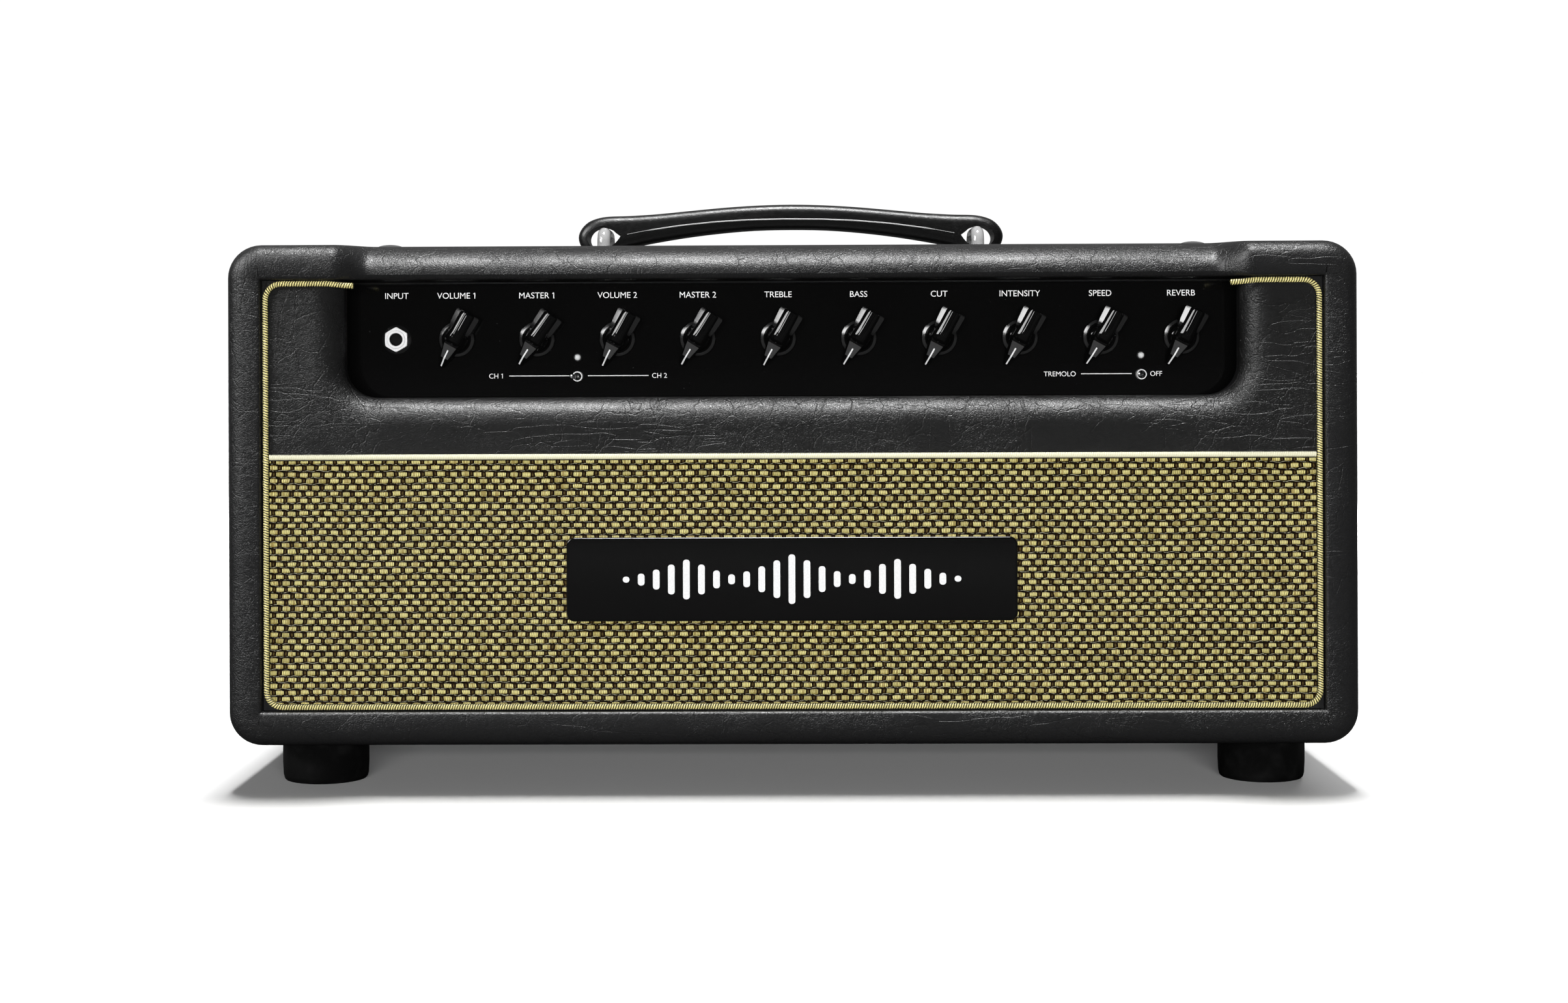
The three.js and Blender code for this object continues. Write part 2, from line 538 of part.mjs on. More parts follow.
function rockerSolid() {
  const onArc = (degrees) => {
    const turn = THREE.MathUtils.degToRad(degrees);
    return [ROCKER.reach * Math.cos(turn), ROCKER.reach * Math.sin(turn)];
  };
  const upper = [62, 78, 94, 110].map(onArc);
  const lower = upper.map(([u, v]) => [u, -v]).reverse();
  const outline = [[3.1, 0], ...upper, [-6, 4], [-6, -4], ...lower];
  const ring = (x) => outline.map(([u, v]) => new THREE.Vector3(x, u, v));
  return lofted([ring(-ROCKER.halfWidth), ring(ROCKER.halfWidth)],
    (point) => new THREE.Vector2(point.y, point.z));
}

['standby_rocker', 'power_rocker'].forEach((name, i) => {
  const rocker = place(name, rockerSolid(), 'glossBlack', [rockerX[i], ROCKER.pivotY, SWITCHES.z]);
  rocker.rotation.x = THREE.MathUtils.degToRad(ROCKER.tilt);
});

place('speaker_jack', turnedAlongY([
  [0, CHASSIS.rear - 26], [JACK.body, CHASSIS.rear - 26], [JACK.body, CHASSIS.rear - sheet - GAP],
  [JACK.thread, CHASSIS.rear - sheet - GAP], [JACK.thread, CHASSIS.rear + GAP],
  [7.5, CHASSIS.rear + GAP], [7.5, CHASSIS.rear + 3], [JACK.thread, CHASSIS.rear + 4.5],
  [JACK.socket, CHASSIS.rear + 4.5], [JACK.socket, CHASSIS.rear - 24], [0, CHASSIS.rear - 24],
], SPEAKER.x, SPEAKER.z, 20), 'plastic');

// ---------------------------------------------------------------- transformers and tubes
// A core of laminations with its windings standing out at both sides.
function transformer(width, depth, height) {
  const core = block([-width / 2, -depth / 4, -height], [width / 2, depth / 4, 0]);
  const windings = block([-width / 4, -depth / 2, -height * 0.82], [width / 4, depth / 2, -height * 0.18]);
  return core.add(windings);
}

const underChassis = CHASSIS.bottom - GAP;
place('power_transformer', transformer(96, 82, 80), 'darkSteel', [178, 12, underChassis]);
place('output_transformer', transformer(76, 62, 64), 'darkSteel', [-182, 12, underChassis]);

for (const [name, x, y, radius, length] of TUBES) {
  const socketTop = sheet + 4;
  const profile = [
    [0, socketTop], [socketRadius, socketTop], [socketRadius, -GAP - 3], [radius, -GAP - 6],
    [radius, -length + 9], [radius * 0.72, -length + 3.5], [2.6, -length + 2], [1.2, -length], [0, -length],
  ];
  place(name, solid(turned(profile, 14).rotateX(Math.PI / 2)), 'glass', [x, y, CHASSIS.bottom]);
}

export default amp;
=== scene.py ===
"""Looks of a guitar amplifier head: vinyl-covered case, woven grille, glossy
control panel with pointer knobs, strap handle and rubber feet.

Lengths are written in millimetres and turned into metres when a mesh is made.
The controls face -Y, +Z is up and the origin is on the floor under the case."""

import json
import math

import bpy
import bmesh
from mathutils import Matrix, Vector


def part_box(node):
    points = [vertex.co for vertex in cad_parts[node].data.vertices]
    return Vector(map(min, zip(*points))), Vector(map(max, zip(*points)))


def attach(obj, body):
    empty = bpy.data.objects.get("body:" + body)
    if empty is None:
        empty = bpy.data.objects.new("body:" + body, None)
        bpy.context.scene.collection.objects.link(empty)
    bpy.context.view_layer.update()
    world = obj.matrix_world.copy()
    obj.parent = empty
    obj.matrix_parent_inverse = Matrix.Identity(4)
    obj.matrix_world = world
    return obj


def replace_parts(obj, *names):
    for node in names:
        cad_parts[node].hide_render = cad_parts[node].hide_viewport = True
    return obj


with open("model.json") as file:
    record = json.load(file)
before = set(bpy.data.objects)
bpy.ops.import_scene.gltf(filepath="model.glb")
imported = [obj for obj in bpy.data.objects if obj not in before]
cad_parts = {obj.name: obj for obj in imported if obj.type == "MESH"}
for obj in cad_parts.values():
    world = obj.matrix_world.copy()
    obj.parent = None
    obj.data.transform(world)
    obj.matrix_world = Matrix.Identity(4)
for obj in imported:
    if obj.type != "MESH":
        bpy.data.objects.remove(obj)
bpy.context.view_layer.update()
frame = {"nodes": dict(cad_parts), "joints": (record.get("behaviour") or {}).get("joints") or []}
MM = 0.001
CASE = "case"


# ------------------------------------------------------------------ CAD places
def extent(node):
    """Lowest and highest corner of a CAD node, in millimetres."""
    low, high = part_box(node)
    return [c / MM for c in low], [c / MM for c in high]


def middle(node):
    """Middle of a CAD node's box, in millimetres."""
    low, high = extent(node)
    return [(a + b) / 2 for a, b in zip(low, high)]


def look(node, material):
    """Gives a CAD node that keeps its own shape a material."""
    slots = frame["nodes"][node].data.materials
    slots.clear()
    slots.append(material)


(LEFT, FRONT, BOTTOM), (RIGHT, BACK, TOP) = extent("cabinet_shell")
(_, BAFFLE_Y, BAFFLE_LOW), (BAFFLE_X, BAFFLE_BACK, BAFFLE_HIGH) = extent("front_baffle")
(CLOTH_X0, CLOTH_Y, CLOTH_Z0), (CLOTH_X1, _, CLOTH_Z1) = extent("grille_cloth")
PANEL_Y = extent("control_panel")[0][1]
INK_Y = PANEL_Y - 0.06
BOARD = 18.0
CORNER = 17.0
EDGE = 12.0
CORNERS = ("front_left", "front_right", "rear_left", "rear_right")
INNER_X = RIGHT - BOARD
INNER_LOW = BOTTOM + BOARD
INNER_HIGH = TOP - BOARD


# ------------------------------------------------------------------ node values
class Value:
    """A number in a node tree, with the usual arithmetic."""

    def __init__(self, net, socket):
        self.net = net
        self.socket = socket

    def __add__(self, other):
        return self.net.math("ADD", self, other)

    def __sub__(self, other):
        return self.net.math("SUBTRACT", self, other)

    def __mul__(self, other):
        return self.net.math("MULTIPLY", self, other)

    def __truediv__(self, other):
        return self.net.math("DIVIDE", self, other)

    __radd__ = __add__
    __rmul__ = __mul__

    def __rsub__(self, other):
        return self.net.math("SUBTRACT", other, self)

    def floor(self):
        return self.net.math("FLOOR", self)

    def fraction(self):
        return self.net.math("FRACT", self)

    def absolute(self):
        return self.net.math("ABSOLUTE", self)

    def sine(self):
        return self.net.math("SINE", self)

    def step(self, low, high):
        """0 below low, 1 above high, smooth between."""
        node = self.net.add("ShaderNodeMapRange", interpolation_type="SMOOTHSTEP")
        node.inputs["From Min"].default_value = low
        node.inputs["From Max"].default_value = high
        self.net.wire(self, node.inputs["Value"])
        return Value(self.net, node.outputs["Result"])

    def pulse(self, low, high, soft):
        """1 between low and high, 0 outside."""
        return self.step(low - soft, low + soft) * (1.0 - self.step(high - soft, high + soft))


class Net:
    """One material's node tree."""

    def __init__(self, name):
        self.material = bpy.data.materials.new(name)
        self.material.use_nodes = True
        self.tree = self.material.node_tree
        self.shader = self.tree.nodes["Principled BSDF"]

    def add(self, kind, **settings):
        node = self.tree.nodes.new(kind)
        for key, value in settings.items():
            setattr(node, key, value)
        return node

    def wire(self, value, socket):
        if isinstance(value, Value):
            self.tree.links.new(value.socket, socket)
        else:
            socket.default_value = value

    def math(self, operation, *values):
        node = self.add("ShaderNodeMath", operation=operation)
        for socket, value in zip(node.inputs, values):
            self.wire(value, socket)
        return Value(self, node.outputs[0])

    def place(self, stretch=(1, 1, 1), turn=(0, 0, 0), uv=False):
        """Texture coordinates in millimetres, stretched and turned."""
        source = self.add("ShaderNodeTexCoord")
        mapping = self.add("ShaderNodeMapping")
        mapping.inputs["Rotation"].default_value = turn
        scale = (1 if uv else 1000)
        mapping.inputs["Scale"].default_value = [s * scale for s in stretch]
        self.tree.links.new(source.outputs["UV" if uv else "Object"], mapping.inputs["Vector"])
        return mapping.outputs["Vector"]

    def axes(self, vector):
        node = self.add("ShaderNodeSeparateXYZ")
        self.tree.links.new(vector, node.inputs[0])
        return [Value(self, out) for out in node.outputs]

    def point(self, x, y, z=0.0):
        node = self.add("ShaderNodeCombineXYZ")
        for value, socket in zip((x, y, z), node.inputs):
            self.wire(value, socket)
        return node.outputs[0]

    def noise(self, vector, scale, detail=2.0, rough=0.5):
        node = self.add("ShaderNodeTexNoise")
        for key, value in (("Scale", scale), ("Detail", detail), ("Roughness", rough)):
            node.inputs[key].default_value = value
        self.tree.links.new(vector, node.inputs["Vector"])
        return Value(self, node.outputs["Fac"])

    def random(self, vector):
        node = self.add("ShaderNodeTexWhiteNoise", noise_dimensions="3D")
        self.tree.links.new(vector, node.inputs["Vector"])
        return Value(self, node.outputs["Value"])

    def cells(self, vector, scale, feature="DISTANCE_TO_EDGE"):
        node = self.add("ShaderNodeTexVoronoi", feature=feature)
        node.inputs["Scale"].default_value = scale
        self.tree.links.new(vector, node.inputs["Vector"])
        return Value(self, node.outputs["Distance"])

    def vein(self, vector, scale, width):
        """0 along thin winding lines, 1 away from them."""
        noise = self.noise(vector, scale, 1.5, 0.45)
        return (noise - 0.5).absolute().step(0.0, width)

    def warped(self, vector, scale, amount):
        """The vector, moved about by a noise of the amount, in millimetres."""
        noise = self.add("ShaderNodeTexNoise")
        noise.inputs["Scale"].default_value = scale
        noise.inputs["Detail"].default_value = 2.0
        self.tree.links.new(vector, noise.inputs["Vector"])
        shift = self.add("ShaderNodeVectorMath", operation="MULTIPLY_ADD")
        self.tree.links.new(noise.outputs["Color"], shift.inputs[0])
        shift.inputs[1].default_value = (amount,) * 3
        self.tree.links.new(vector, shift.inputs[2])
        return shift.outputs[0]

    def mix(self, factor, a, b):
        """A colour between a and b; each is a colour or a node's socket."""
        node = self.add("ShaderNodeMix", data_type="RGBA")
        self.wire(factor, node.inputs["Factor"])
        for socket, colour in ((node.inputs[6], a), (node.inputs[7], b)):
            if isinstance(colour, tuple):
                socket.default_value = (*colour, 1.0)
            else:
                self.tree.links.new(colour, socket)
        return node.outputs[2]

    def colour(self, colour):
        if isinstance(colour, tuple):
            self.shader.inputs["Base Color"].default_value = (*colour, 1.0)
        else:
            self.tree.links.new(colour, self.shader.inputs["Base Color"])

    def bump(self, height, distance, strength=1.0):
        """height is 0 to 1; distance is its relief in millimetres."""
        node = self.add("ShaderNodeBump")
        node.inputs["Strength"].default_value = strength
        node.inputs["Distance"].default_value = distance * MM
        self.wire(height, node.inputs["Height"])
        self.tree.links.new(node.outputs[0], self.shader.inputs["Normal"])

    def set(self, **sockets):
        for key, value in sockets.items():
            self.wire(value, self.shader.inputs[key.replace("_", " ")])
        return self.material


# ------------------------------------------------------------------ materials
def vinyl(name, colour, grain=1.0, rough=0.36, creased=1.0):
    """Leather-grain vinyl: fine pebbles and wrinkles, with long creases across them.
    A wrinkle or crease lies wherever a stretched noise passes its middle value. The wrinkles and creases
    are also painted darker, a painted shade in them."""
    net = Net(name)
    here = net.place()
    slant = net.place((0.72, 0.8, 1.0), (0.15, 0.75, 0.25))
    steep = net.place((1.0, 0.8, 0.22), (0.0, 0.12, 0.0))
    level = net.place((0.18, 0.8, 1.0), (0.0, -0.10, 0.0))
    pebbles = net.noise(net.warped(slant, 0.6, 1.2), 1.5, 2.0, 0.55)
    wrinkles = net.vein(net.warped(slant, 0.3, 2.0), 1.1, 0.11)
    patch = net.noise(here, 0.022, 2.0)
    strong = patch.step(0.38, 0.62)
    lines = net.vein(net.warped(level, 0.06, 2.5), 0.17, 0.016)
    folds = net.vein(net.warped(steep, 0.06, 2.5), 0.13, 0.014)
    cracks = net.cells(net.warped(here, 0.12, 8.0), 0.062).step(0.0, 0.030)
    lines = 1.0 - (1.0 - lines) * net.noise(level, 0.03, 1.0).step(0.44, 0.56)
    folds = 1.0 - (1.0 - folds) * net.noise(steep, 0.035, 1.0).step(0.50, 0.62)
    cracks = 1.0 - (1.0 - cracks) * patch.step(0.36, 0.48)
    lumps = net.noise(slant, 0.55, 3.0, 0.6)
    broad = net.noise(here, 0.05, 2.0)
    creases = lines * 0.34 + folds * 0.34 + cracks * 0.32
    height = (pebbles * 0.55 + wrinkles * (0.10 + strong * 0.16) + creases * (1.7 * creased)
              + lumps * 0.30 + broad * 1.1)
    net.bump(height, 0.30 * grain, 1.0)
    # painted shade: the colour darkens in the wrinkles, and in the creases as far as creased allows,
    # standing in for the shade that falls in them
    dark = tuple(c * 0.35 for c in colour)
    net.colour(net.mix(1.0 - (1.0 - wrinkles) * 0.3 - (1.0 - creases) * creased * 0.7, dark, colour))
    roughness = rough + (lumps - 0.5) * 0.26 + (broad - 0.5) * 0.10 + 0.02
    return net.set(Roughness=roughness, Specular_IOR_Level=0.5)


def woven_cloth():
    """Basket weave: blocks of pale gold warp threads, dark gaps with brown threads, and
    thin silver wefts that wind between the rows."""
    net = Net("woven_cloth")
    here = net.place()
    x, _, z = net.axes(here)
    sway = net.noise(here, 0.02, 1.0) - 0.5
    tremble = net.noise(here, 0.30, 1.0) - 0.5
    lift = net.noise(net.place((0.3, 1, 1)), 0.3, 1.0) - 0.5
    u = x / 6.3 + sway * 0.5 + tremble * 0.20 + 400.0
    v = z / 3.24 + sway * 0.35 + lift * 0.30 + 100.0
    row = v.floor()
    along_row = u + (row * 0.5).fraction()
    block = along_row.floor()
    across = along_row.fraction()
    up = v.fraction()
    strand = (across * (5.0 / 0.64)).floor()
    chance = net.random(net.point(block, row))
    second = net.random(net.point(block, row, 9.0))
    strand_chance = net.random(net.point(block * 7.0 + strand, row, 3.0))
    rib = (across * (math.pi * 5.0 / 0.64)).sine().absolute()
    centre = 0.52 + (chance - 0.5) * 0.10
    width = ((across - 0.32) / 0.33).absolute()
    tall = 0.37 - width * width * width * 0.10 + (strand_chance - 0.5) * 0.05
    inside = (tall - (up - centre).absolute()).step(-0.03, 0.05)
    in_block = inside * (1.0 - (width + (second - 0.5) * 0.12).step(0.93, 1.0))
    crown = 1.0 - ((up - centre) / 0.40).absolute()
    gap = across.pulse(0.66, 0.98, 0.02)
    gap_thread = across.pulse(0.76, 0.88, 0.03) * crown.step(0.1, 0.9)
    wave = (along_row * (2 * math.pi) + chance * 2.0).sine()
    line = (up - 0.09 - wave * 0.075).absolute()
    broken = net.noise(net.place((1.0, 1.0, 2.5)), 0.9, 2.0).step(0.40, 0.58)
    silver = (1.0 - line.step(0.012, 0.05)) * broken
    # painted highlight and shade: each gold block is painted paler at its crown and darker in the grooves
    # between its strands; the random darker strands and blocks below are real tone
    pale = net.mix(crown.step(0.0, 0.75), (0.46, 0.36, 0.09), (0.80, 0.73, 0.30))
    gold = net.mix(rib.step(0.10, 0.70), (0.10, 0.060, 0.015), pale)
    gold = net.mix(strand_chance.step(0.74, 0.95) * 0.65, gold, (0.26, 0.17, 0.03))
    gold = net.mix(second.step(0.55, 1.0) * 0.45, gold, (0.24, 0.19, 0.04))
    ground = net.mix(gap, (0.003, 0.0025, 0.001), (0.010, 0.005, 0.002))
    ground = net.mix(gap_thread * 0.8, ground, (0.11, 0.075, 0.025))
    cloth = net.mix(in_block, ground, gold)
    net.colour(net.mix(silver * 0.9, cloth, (0.66, 0.63, 0.46)))
    height = in_block * (0.40 + rib * 0.22 + crown * 0.42) + gap_thread * 0.18 + silver * 0.20
    net.bump(height, 0.80, 1.0)
    return net.set(Roughness=0.62 - in_block * 0.20 - silver * 0.2,
                   Specular_IOR_Level=in_block * 0.35 + silver * 0.3 + 0.06)


def corded(name, light, dark, pitch, depth=1.0):
    """A wound cord along u (in millimetres), v once round it. The grooves between its strands are painted
    dark, a painted shade.
    """
    net = Net(name)
    u, v, _ = net.axes(net.place(uv=True))
    jitter = net.noise(net.place(), 0.5, 2.0) - 0.5
    turn = (u / pitch + v * 2.0 + jitter * 0.5) * math.pi
    strand = turn.sine().absolute()
    chance = net.noise(net.place(), 0.22, 2.0)
    # painted shade: dark is painted into the grooves between the strands and light on their crowns; chance
    # is a real random change of tone
    bead = strand.step(0.30, 0.92) * (chance * 0.9 + 0.45)
    net.colour(net.mix(1.0 - (1.0 - bead) * depth, dark, light))
    net.bump(strand.step(0.0, 0.9), 0.45 * depth, 1.0)
    return net.set(Roughness=0.50 - strand * 0.2, Specular_IOR_Level=0.5)


def gloss(name, colour, rough=0.07, dust=0.35):
    """Polished moulding or acrylic with a little dust and fine marks."""
    net = Net(name)
    here = net.place()
    specks = (1.0 - net.cells(here, 0.22, "F1").step(0.015, 0.045))
    specks = specks * net.noise(here, 0.05, 1.0).step(0.50, 0.62) * dust
    film = net.noise(here, 0.03, 3.0)
    net.colour(net.mix(specks, colour, (0.32, 0.32, 0.32)))
    net.bump(net.noise(here, 0.25, 2.0), 0.012, 0.5)
    return net.set(Roughness=rough + film * 0.05 + specks * 0.5, Specular_IOR_Level=0.5)


def metal(name, colour, rough, stretch=(1, 1, 1), relief=0.02):
    """Plated or bare metal with faint lines and stains."""
    net = Net(name)
    lines = net.noise(net.place(stretch), 2.0, 3.0, 0.6)
    stains = net.noise(net.place(), 0.06, 3.0)
    net.colour(net.mix(stains * 0.35, colour, tuple(c * 0.7 for c in colour)))
    net.bump(lines, relief, 0.6)
    return net.set(Metallic=1.0, Roughness=rough - 0.04 + stains * 0.10 + lines * 0.04)


def moulded(name, colour, rough=0.5, relief=0.05, specular=0.45):
    """Rubber or plastic with a fine spark-eroded grain."""
    net = Net(name)
    here = net.place()
    grain = net.noise(here, 3.0, 3.0, 0.6)
    scuff = net.noise(here, 0.09, 3.0)
    net.colour(net.mix(scuff.step(0.45, 0.75) * 0.6, colour, tuple(c * 1.9 + 0.003 for c in colour)))
    net.bump(grain, relief, 0.7)
    return net.set(Roughness=rough - 0.06 + scuff * 0.14, Specular_IOR_Level=specular)


def satin(name, colour, rough, specular=0.5):
    """A moulded facet with a fine, even grain."""
    net = Net(name)
    here = net.place()
    grain = net.noise(here, 4.0, 2.0, 0.6)
    net.colour(net.mix(grain.step(0.3, 0.7), tuple(c * 0.75 for c in colour), colour))
    net.bump(grain, 0.008, 0.6)
    return net.set(Roughness=rough + (grain - 0.5) * 0.1, Specular_IOR_Level=specular)


def lettering(name, colour):
    """Printed ink, a little worn."""
    net = Net(name)
    wear = net.noise(net.place(), 1.2, 3.0)
    net.colour(net.mix(wear.step(0.3, 0.7), tuple(c * 0.9 for c in colour), colour))
    return net.set(Roughness=0.45 + wear * 0.1)


def laminated():
    """The stacked sheets of a transformer's core."""
    net = Net("laminated_core")
    here = net.place()
    _, y, _ = net.axes(here)
    sheets = (y * (math.pi / 0.5)).sine().absolute()
    net.colour(net.mix(sheets, (0.010, 0.010, 0.011), (0.035, 0.034, 0.036)))
    net.bump(sheets, 0.12, 0.8)
    return net.set(Roughness=0.42 + net.noise(here, 0.1, 2.0) * 0.15, Metallic=0.3)


def clear_glass():
    """Valve glass with a grey haze in patches."""
    net = Net("tube_glass")
    here = net.place()
    haze = net.noise(here, 0.05, 3.0)
    net.colour(net.mix(haze.step(0.4, 0.8) * 0.5, (0.85, 0.9, 0.88), (0.45, 0.5, 0.5)))
    return net.set(Roughness=0.03 + haze * 0.05, Transmission_Weight=0.92, IOR=1.47)


def circuit_board():
    """Green board with paler tracks."""
    net = Net("circuit_board")
    here = net.place()
    tracks = (1.0 - net.cells(here, 0.18).step(0.03, 0.06))
    net.colour(net.mix(tracks * 0.5, (0.010, 0.055, 0.018), (0.03, 0.12, 0.05)))
    net.bump(tracks, 0.05, 0.6)
    return net.set(Roughness=0.35 + net.noise(here, 0.2, 2.0) * 0.2)


VINYL = vinyl("case_vinyl", (0.0125, 0.0125, 0.0128), 1.0, 0.36, 0.55)
BAFFLE_VINYL = vinyl("baffle_vinyl", (0.012, 0.012, 0.012), 1.0, 0.36, 0.8)
STRAP = vinyl("strap_leather", (0.004, 0.004, 0.004), 0.3, 0.34, 0.12)
CLOTH = woven_cloth()
GOLD_CORD = corded("gold_piping", (0.95, 0.85, 0.36), (0.030, 0.020, 0.004), 1.25)
CREAM_CORD = corded("divider_piping", (0.88, 0.86, 0.64), (0.55, 0.45, 0.20), 1.1, 0.22)
PANEL_BLACK = gloss("panel_black", (0.0022, 0.0022, 0.0022), 0.05, 0.28)
PLATE_BLACK = gloss("plate_black", (0.0035, 0.0035, 0.0035), 0.09, 0.12)
KNOB_BLACK = gloss("knob_black", (0.0028, 0.0028, 0.0028), 0.035, 0.0)
# painted reflection and sheen: the knob is one black plastic; its beak facet is painted mid grey and its
# flanks and ring a little lighter than the gloss, where they catch light
KNOB_FLANK_PAINTED_SHEEN = satin("knob_flank_painted_sheen", (0.016, 0.016, 0.016), 0.20, 1.0)
KNOB_FACET_PAINTED_REFLECTION = satin("knob_facet_painted_reflection", (0.045, 0.045, 0.045), 0.42)
WHITE_INK = lettering("white_ink", (0.90, 0.90, 0.90))
BRIGHT_INK = lettering("bright_ink", (0.93, 0.93, 0.93))
CHROME = metal("polished_chrome", (0.86, 0.86, 0.87), 0.10)
NICKEL = satin("satin_nickel", (0.92, 0.92, 0.92), 0.20)
POST = satin("bracket_plating", (0.50, 0.50, 0.50), 0.08, 1.0)
# painted highlight: the lower layer's edge is the same black leather, painted pale grey where it catches
# light
STRAP_EDGE_HIGHLIGHT = satin("strap_edge_painted_highlight", (0.42, 0.42, 0.42), 0.35)
ZINC = metal("zinc_sheet", (0.42, 0.43, 0.44), 0.38, (0.2, 1, 4), 0.05)
RUBBER = moulded("foot_rubber", (0.0025, 0.0025, 0.0025), 0.55, 0.10, 0.25)
PLASTIC = moulded("black_plastic", (0.011, 0.011, 0.011), 0.42, 0.03)
DARK_WASHER = moulded("dark_washer", (0.005, 0.005, 0.005), 0.25, 0.01, 0.8)
LENS = moulded("lamp_lens", (0.70, 0.71, 0.71), 0.25, 0.01, 0.6)
CORE = laminated()
GLASS = clear_glass()
CIRCUIT = circuit_board()


# ------------------------------------------------------------------ meshes
def piece(name, verts, faces, materials, body=CASE, uvs=None, marks=None, sharp=38):
    """A mesh piece that rides on a body. marks gives each face's material."""
    data = bpy.data.meshes.new(name)
    data.from_pydata([(x * MM, y * MM, z * MM) for x, y, z in verts], [], faces)
    for material in materials:
        data.materials.append(material)
    if uvs:
        layer = data.uv_layers.new(name="UVMap")
        for loop in data.loops:
            layer.data[loop.index].uv = uvs[loop.vertex_index]
    if marks:
        data.polygons.foreach_set("material_index", marks)
    bm = bmesh.new()
    bm.from_mesh(data)
    bmesh.ops.recalc_face_normals(bm, faces=bm.faces)
    bm.to_mesh(data)
    bm.free()
    data.shade_smooth()
    data.set_sharp_from_angle(angle=math.radians(sharp))
    obj = bpy.data.objects.new(name, data)
    bpy.context.scene.collection.objects.link(obj)
    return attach(obj, body)


def loft(rings, closed=True, caps=True, loop=False):
    """Vertices and faces of a skin over rings of points."""
    size = len(rings[0])
    count = len(rings)
    verts = [tuple(p) for ring in rings for p in ring]
    faces = []
    for i in range(count if loop else count - 1):
        a, b = i * size, ((i + 1) % count) * size
        for k in range(size if closed else size - 1):
            j = (k + 1) % size
            faces.append((a + k, a + j, b + j, b + k))
    if caps:
        faces.append(tuple(reversed(range(size))))
        faces.append(tuple(range((count - 1) * size, count * size)))
    return verts, faces


def merged(*parts):
    """Several (verts, faces) as one."""
    verts, faces = [], []
    for more_verts, more_faces in parts:
        start = len(verts)
        verts += more_verts
        faces += [tuple(i + start for i in face) for face in more_faces]
    return verts, faces


def around(sides):
    """Evenly spaced angles, once round."""
    return [2 * math.pi * k / sides for k in range(sides)]


def hoop(x, y, z, radius, sides):
    """A ring of points round an axis that runs along y."""
    return [(x + radius * math.cos(t), y, z + radius * math.sin(t)) for t in around(sides)]


def turned(profile, at, axis=(0, -1, 0), sides=32):
    """A turned shape: profile of (radius, distance along the axis)."""
    way = Vector(axis).normalized()
    side = way.orthogonal().normalized()
    other = way.cross(side)
    rings = []
    for radius, along in profile:
        centre = Vector(at) + way * along
        rings.append([centre + (side * math.cos(t) + other * math.sin(t)) * max(radius, 0.01)
                      for t in around(sides)])
    return loft(rings)


def arc(cx, cy, radius, start, end, steps):
    """Points of an arc, angles in degrees, as (x, y)."""
    turns = [math.radians(start + (end - start) * i / steps) for i in range(steps + 1)]
    return [(cx + radius * math.cos(t), cy + radius * math.sin(t)) for t in turns]


def spaced(start, end, step):
    count = max(1, round(abs(end - start) / step))
    return [start + (end - start) * i / count for i in range(count + 1)]


def smooth(value, low, high):
    t = min(1.0, max(0.0, (value - low) / (high - low)))
    return t * t * (3 - 2 * t)


def wander(x, y, seed=0.0):
    """A slow, repeatable unevenness between -1 and 1."""
    return (math.sin(x * 0.043 + seed) * math.cos(y * 0.051 + seed * 1.7)
            + 0.5 * math.sin(x * 0.109 + y * 0.083 + seed * 2.3)) / 1.5


